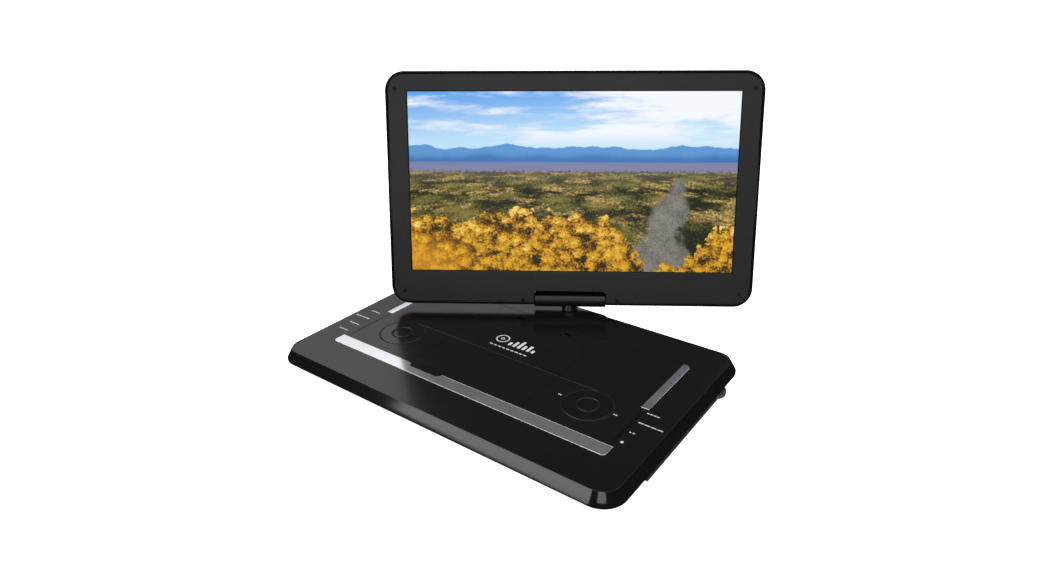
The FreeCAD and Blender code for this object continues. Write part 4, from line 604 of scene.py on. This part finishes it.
nodeFinish = {
    "base_top_cover": "shellGloss", "deck_panel": "shellGloss", "disc_door": "shellGloss",
    "hinge_barrel": "barrelGloss", "status_window": "windowSmoke", "lid_back_cover": "lidGloss",
    "lid_bezel": "bezelSatin", "base_bottom_cover": "bellyTexture", "front_trim": "frontSilver",
    "left_trim": "trimSilver", "right_trim": "trimSilver", "open_button": "buttonGloss",
    "nav_ring": "buttonGloss", "nav_button": "buttonGloss", "play_ring": "buttonGloss",
    "play_button": "buttonGloss", "volume_wheel": "greyControlAndCreaseHighlight", "power_switch": "greyControlAndCreaseHighlight",
    "rubber_feet": "padRubber",
    "lid_bumpers": "bumperRubber", "loader_frame": "blackMetal", "swivel_shaft": "blackMetal",
    "battery_pack": "cellWrap", "lcd_panel": "darkGlass", "backlight_unit": "lightGuide",
    "sled_lens": "lensGlass", "disc_tray": "innerPlastic", "laser_sled": "innerPlastic",
    "turntable_hub": "innerPlastic",
}
for name in ("card_slot", "dc_jack", "av_jack", "headphone_jack", "power_switch_housing", "volume_pot",
             "speakers"):
    nodeFinish[name] = "socketPlastic"
for name in ("main_board", "key_boards", "pad_boards", "driver_board"):
    nodeFinish[name] = "greenBoard"
for name in nodes:
    if "_key_" in name:
        nodeFinish[name] = "buttonGloss"
    nodeFinish.setdefault(name, "brightSteel")
for name, node in nodes.items():
    node.data.materials.clear()
    node.data.materials.append(finishes[nodeFinish[name]])
print("finishes on every node")

# pieces: how sharp an edge must be to be rounded, and how close points are joined
rounding = {"merge": 0.000004, "clean": 0.000003, "flat": math.radians(0.4), "sharp": math.radians(24),
            "smooth": math.radians(30.0)}


def startEdit(kind):
    bpy.ops.object.mode_set(mode="EDIT")
    bpy.ops.mesh.select_mode(type=kind)
    bpy.ops.mesh.select_all(action="SELECT")


def endEdit():
    bpy.ops.object.mode_set(mode="OBJECT")


def takeFinish(piece, finish, body):
    piece.data.materials.clear()
    piece.data.materials.append(finishes[finish])
    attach(piece, body)


def pick(piece):
    deselectAll()
    piece.select_set(True)
    bpy.context.view_layer.objects.active = piece


def fixPlace(piece):  # the object goes to the origin, its place stays in its mesh
    pick(piece)
    applyPlace()


def smoothPiece(piece):
    pick(piece)
    bpy.ops.object.shade_smooth_by_angle(angle=rounding["smooth"])
    bpy.ops.object.modifier_add(type="WEIGHTED_NORMAL")
    weighted = piece.modifiers[-1]
    weighted.keep_sharp = True
    bpy.ops.object.modifier_apply(modifier=weighted.name)


def selectEdges(piece, test):  # sharp outer edges that pass the test
    bpy.ops.mesh.select_all(action="DESELECT")
    shape = bmesh.from_edit_mesh(piece.data)
    found = 0
    for edge in shape.edges:
        sharp = len(edge.link_faces) == 2 and edge.is_convex and edge.calc_face_angle(0.0) > rounding["sharp"]
        if sharp and test(edge.verts[0].co) and test(edge.verts[1].co):
            edge.select_set(True)
            found += 1
    bmesh.update_edit_mesh(piece.data)
    return found


def roundedCopy(source, pieceName, passes, body):  # a CAD copy with its sharp edges rounded
    piece = bpy.data.objects.new(pieceName, nodes[source].data.copy())
    bpy.context.scene.collection.objects.link(piece)
    pick(piece)
    if piece.data.has_custom_normals:
        bpy.ops.mesh.customdata_custom_splitnormals_clear()
    startEdit("EDGE")
    bpy.ops.mesh.remove_doubles(threshold=rounding["merge"])
    bpy.ops.mesh.dissolve_limited(angle_limit=rounding["flat"])
    for test, width, segments in passes:
        if selectEdges(piece, test):
            bpy.ops.mesh.bevel(offset=width, offset_type="OFFSET", segments=segments, profile=0.5,
                               clamp_overlap=True, miter_outer="ARC")
    bpy.ops.mesh.select_all(action="SELECT")
    bpy.ops.mesh.remove_doubles(threshold=rounding["clean"])
    bpy.ops.mesh.dissolve_degenerate(threshold=rounding["clean"])
    endEdit()
    smoothPiece(piece)
    takeFinish(piece, nodeFinish[source], body)
    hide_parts(source)
    return piece


edgeTests = {"slack": 0.00002, "rimInner": 0.014, "padGap": 0.001, "padFace": 0.0001, "doorGap": 0.002}
lidLevels = {"rim": (0.0098, 0.0102), "back": (-0.0052, -0.0048), "bezel": (0.0096, 0.0098)}
baseLow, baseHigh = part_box("base_top_cover")
doorLow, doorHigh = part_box("disc_door")


def middleOf(name):
    low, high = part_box(name)
    return (low + high) / 2


def flatDistance(a, b):
    return math.hypot(a.x - b.x, a.y - b.y)


def topRadius(name):  # of a round button's face, without the flange that holds it in
    middle = middleOf(name)
    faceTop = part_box(name)[1].z - edgeTests["padFace"]
    face = [vertex.co for vertex in nodes[name].data.vertices if vertex.co.z > faceTop]
    return max(flatDistance(point, middle) for point in face)


padReach = topRadius("nav_ring") + edgeTests["padGap"]


def atHeight(z):
    return lambda point: abs(point.z - z) < edgeTests["slack"]


onDeck = atHeight(deckTop)


def onRim(point):  # top outline of the base, not the openings in it
    inner = edgeTests["rimInner"]
    outside = abs(point.x) > baseHigh.x - inner or point.y < baseLow.y + inner or point.y > baseHigh.y - inner
    return onDeck(point) and outside


def onLid(low, high):
    return lambda point: low <= (lidBack @ point).z <= high


def nearPad(point):  # the panel's round wells under the two pads
    near = [flatDistance(point, middleOf(name)) < padReach for name in ("nav_ring", "play_ring")]
    return onDeck(point) and any(near)


def awayFromDoor(point):
    clear = edgeTests["doorGap"]
    insideAcross = doorLow.x - clear < point.x < doorHigh.x + clear
    insideAlong = doorLow.y - clear < point.y < doorHigh.y + clear
    return onDeck(point) and not (insideAcross and insideAlong)


def anywhere(point):
    return True


edgeWidths = {"rim": 0.0007, "seam": 0.0004, "well": 0.0008, "pad": 0.0007, "trim": 0.0005, "barrel": 0.0009,
              "lidRim": 0.0005, "lidBack": 0.0012, "bezel": 0.0003}
roundedCopy("base_top_cover", "topCover",
            [(onRim, edgeWidths["rim"], 3), (onDeck, edgeWidths["seam"], 2)], "base")
roundedCopy("deck_panel", "deckPanel",
            [(nearPad, edgeWidths["well"], 3), (awayFromDoor, edgeWidths["seam"], 2)], "base")
for name, pieceName in (("front_trim", "frontTrim"), ("left_trim", "leftTrim"), ("right_trim", "rightTrim")):
    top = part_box(name)[1].z
    roundedCopy(name, pieceName, [(atHeight(top), edgeWidths["trim"], 2)], "base")
padPieces = (("nav_ring", "navRing", "nav_outer"), ("nav_button", "navButton", "nav_middle"),
             ("play_ring", "playRing", "play_outer"), ("play_button", "playButton", "play_middle"))
for name, pieceName, body in padPieces:
    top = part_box(name)[1].z
    roundedCopy(name, pieceName, [(atHeight(top), edgeWidths["pad"], 3)], body)
roundedCopy("hinge_barrel", "hingeBarrel", [(anywhere, edgeWidths["barrel"], 3)], "swivel")
roundedCopy("lid_back_cover", "lidCover",
            [(onLid(*lidLevels["rim"]), edgeWidths["lidRim"], 2),
             (onLid(*lidLevels["back"]), edgeWidths["lidBack"], 2)], "lid")
roundedCopy("lid_bezel", "lidBezel",
            [(onLid(*lidLevels["bezel"]), edgeWidths["bezel"], 2)], "lid")
print("rounded copies done")


def buildPicture():  # a thin sheet on the screen: the picture inside, a dark edge around it
    wide = picture["wide"]
    high = picture["high"]
    deselectAll()
    bpy.ops.mesh.primitive_plane_add(size=1.0)
    sheet = bpy.context.object
    sheet.name = "screenPicture"
    startEdit("FACE")
    bpy.ops.transform.resize(value=(wide, high, 1.0))
    bpy.ops.transform.translate(value=(0, picture["low"] + high / 2, picture["face"] + picture["sheet"]))
    bpy.ops.mesh.inset(thickness=picture["edge"], depth=0.0)
    endEdit()
    sheet.data.materials.append(finishes["screenLandscape"])
    sheet.data.materials.append(finishes["darkGlass"])
    for face in sheet.data.polygons:  # the inner face is nearly the whole sheet
        face.material_index = 0 if face.area > 0.9 * wide * high else 1
    startEdit("FACE")
    bpy.ops.mesh.extrude_region_move(TRANSFORM_OT_translate={"value": (0, 0, picture["sheet"] / 2)})
    endEdit()
    sheet.matrix_world = lidPlace
    fixPlace(sheet)
    sheet.visible_glossy = False
    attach(sheet, "lid")


buildPicture()
print("picture sheet done")

# printed marks: plain bars and the usual player signs, a hair above the deck, in millimetres
printing = {"thick": 0.00003, "lift": 0.00001, "corner": 0.12, "ringSides": 64,
            "leftBars": ((-170, -14.5, 12), (-174, -30, 20), (-170, -45.5, 14), (-170, -60.5, 12)),
            "rightBars": ((167, -11.5, 12), (172.5, -27.5, 23)), "barHigh": 1.1, "barCount": 4, "barGap": 0.7,
            "play": (162.2, -43.5), "pause": (165.4, -43.5), "stop": (163, -59), "back": (84, -31),
            "next": (140, -29.5), "sign": 1.25, "stopSide": 2.4, "pauseApart": 0.6, "pauseWide": 0.6,
            "pauseHigh": 2.0, "skipApart": 0.95, "disc": (-19.5, 19.5), "discOuter": 7.2, "discInner": 5.9,
            "hubOuter": 2.1, "hubInner": 1.1, "bars": (6, 10, 14, 8, 11, 5), "barsFrom": -7.0,
            "barsPitch": 5.6, "barsWide": 3.2, "line": (-26, 21), "lineY": 5.0, "lineHigh": 1.5,
            "dashes": 9, "dashGap": 1.6}


def placeMark(mark, x, y):
    mark.location = (x * mm, y * mm, deckTop + printing["lift"] + printing["thick"] / 2)
    return mark


def cutHole(disc, width):  # turns a round plate into a ring
    startEdit("FACE")
    bpy.ops.mesh.select_all(action="DESELECT")
    shape = bmesh.from_edit_mesh(disc.data)
    for face in shape.faces:
        face.select_set(abs(face.normal.z) > 0.5)
    bmesh.update_edit_mesh(disc.data)
    bpy.ops.mesh.inset(thickness=width, depth=0.0)
    bpy.ops.mesh.bridge_edge_loops()
    endEdit()


def markBox(x, y, wide, high):
    bpy.ops.mesh.primitive_cube_add(size=1.0)
    mark = bpy.context.object
    startEdit("EDGE")
    bpy.ops.transform.resize(value=(wide * mm, high * mm, printing["thick"]))
    bpy.ops.mesh.select_all(action="DESELECT")
    shape = bmesh.from_edit_mesh(mark.data)
    for edge in shape.edges:
        upright = abs(edge.verts[0].co.z - edge.verts[1].co.z) > printing["thick"] / 2
        edge.select_set(upright)
    bmesh.update_edit_mesh(mark.data)
    bpy.ops.mesh.bevel(offset=printing["corner"] * min(wide, high) * mm, segments=2)
    endEdit()
    return placeMark(mark, x, y)


def markArrow(x, y, size, turn):
    bpy.ops.mesh.primitive_cylinder_add(vertices=3, radius=size * mm, depth=printing["thick"],
                                        rotation=(0, 0, math.radians(turn - 90)))
    return placeMark(bpy.context.object, x, y)


def markRing(x, y, outer, inner):
    bpy.ops.mesh.primitive_cylinder_add(vertices=printing["ringSides"], radius=outer * mm,
                                        depth=printing["thick"], end_fill_type="NGON")
    mark = bpy.context.object
    cutHole(mark, (outer - inner) * mm)
    return placeMark(mark, x, y)


def joinMarks(marks, name, body, finish="printWhite"):  # one piece of several marks
    deselectAll()
    for mark in marks:
        mark.select_set(True)
    bpy.context.view_layer.objects.active = marks[0]
    applyPlace()
    bpy.ops.object.join()
    piece = bpy.context.object
    piece.name = name
    fixPlace(piece)
    takeFinish(piece, finish, body)


def dashedBar(x, y, wide):
    gap = printing["barGap"]
    count = printing["barCount"]
    step = (wide + gap) / count
    start = x - wide / 2 - gap / 2
    return [markBox(start + step * (i + 0.5), y, step - gap, printing["barHigh"]) for i in range(count)]


def buildKeyMarks():
    mark = printing
    deselectAll()
    marks = []
    for x, y, wide in mark["leftBars"] + mark["rightBars"]:
        marks.extend(dashedBar(x, y, wide))
    marks.append(markArrow(*mark["play"], mark["sign"], 0))
    for side in (-mark["pauseApart"], mark["pauseApart"]):
        marks.append(markBox(mark["pause"][0] + side, mark["pause"][1], mark["pauseWide"], mark["pauseHigh"]))
    marks.append(markBox(*mark["stop"], mark["stopSide"], mark["stopSide"]))
    for side in (-mark["skipApart"], mark["skipApart"]):
        marks.append(markArrow(mark["back"][0] + side, mark["back"][1], mark["sign"], 180))
        marks.append(markArrow(mark["next"][0] + side, mark["next"][1], mark["sign"], 0))
    joinMarks(marks, "keyMarks", "base")


def buildEmblem():  # a disc sign, level bars and a dashed line on the door
    mark = printing
    emblem = [markRing(*mark["disc"], mark["discOuter"], mark["discInner"]),
              markRing(*mark["disc"], mark["hubOuter"], mark["hubInner"])]
    foot = mark["disc"][1] - mark["discOuter"]
    for i, high in enumerate(mark["bars"]):
        middle = mark["barsFrom"] + i * mark["barsPitch"]
        emblem.append(markBox(middle, foot + high / 2, mark["barsWide"], high))
    start, end = mark["line"]
    step = (end - start) / mark["dashes"]
    dash = step - mark["dashGap"]
    for i in range(mark["dashes"]):
        emblem.append(markBox(start + step * (i + 0.5), mark["lineY"], dash, mark["lineHigh"]))
    joinMarks(emblem, "doorEmblem", "door")


buildKeyMarks()
buildEmblem()
print("printed marks done")

# painted shade: near-black rings in the grooves round the pads; painted highlight: pale hairline strips along
# the deck's crease; in millimetres
grooveShades = {"inside": 0.05, "wide": 1.2, "below": 0.035}
crease = {"line": -7.0, "high": 0.35, "door": (-65.4, 65.4), "left": (-112, -66.8), "right": (66.8, 109)}


# painted shade: a near-black ring just below the deck, in the groove round a button, where the deep gap lies
# in shade
def buildGrooveShade(button, name, body):
    middle = middleOf(button)
    inner = topRadius(button) / mm + grooveShades["inside"]
    ring = markRing(middle.x / mm, middle.y / mm, inner + grooveShades["wide"], inner)
    ring.location.z -= grooveShades["below"] * mm
    joinMarks([ring], name, body, "paintedGrooveShade")


# painted highlight: pale grey strips along the deck's crease, where the seam's edge catches light
def buildCreaseHighlight():
    for place, name, body in (("door", "doorCreaseHighlight", "door"), ("left", "leftCreaseHighlight", "base"),
                              ("right", "rightCreaseHighlight", "base")):
        start, end = crease[place]
        deselectAll()
        creaseHighlight = markBox((start + end) / 2, crease["line"], end - start, crease["high"])
        joinMarks([creaseHighlight], name, body, "greyControlAndCreaseHighlight")


deselectAll()
buildGrooveShade("nav_ring", "navGrooveShade", "base")
buildGrooveShade("play_ring", "playGrooveShade", "base")
buildGrooveShade("nav_button", "navInnerGrooveShade", "nav_outer")
buildGrooveShade("play_button", "playInnerGrooveShade", "play_outer")
buildCreaseHighlight()
print("gaskets and crease done")

# friction washers between the barrel's ends and the lid, in metres
washers = {"outer": 0.0074, "inner": 0.0032, "thick": 0.00034, "gap": 0.0004, "lip": 0.00008, "sides": 72}


def buildWasher(side, name):
    halfBarrel = max(abs((lidBack @ vertex.co).x) for vertex in nodes["hinge_barrel"].data.vertices)
    deselectAll()
    bpy.ops.mesh.primitive_cylinder_add(vertices=washers["sides"], radius=washers["outer"],
                                        depth=washers["thick"], end_fill_type="NGON",
                                        rotation=(0, math.radians(90), 0))
    washer = bpy.context.object
    washer.name = name
    cutHole(washer, washers["outer"] - washers["inner"])
    washer.location = (side * (halfBarrel + washers["gap"] / 2), 0, 0)
    applyPlace()
    washer.matrix_world = lidPlace
    fixPlace(washer)
    bpy.ops.object.modifier_add(type="BEVEL")
    bevel = washer.modifiers[-1]
    bevel.width = washers["lip"]
    bevel.segments = 2
    bpy.ops.object.modifier_apply(modifier=bevel.name)
    smoothPiece(washer)
    takeFinish(washer, "padRubber", "lid")


buildWasher(-1, "leftHingeWasher")
buildWasher(1, "rightHingeWasher")
print("hinge washers done")

print("script done")
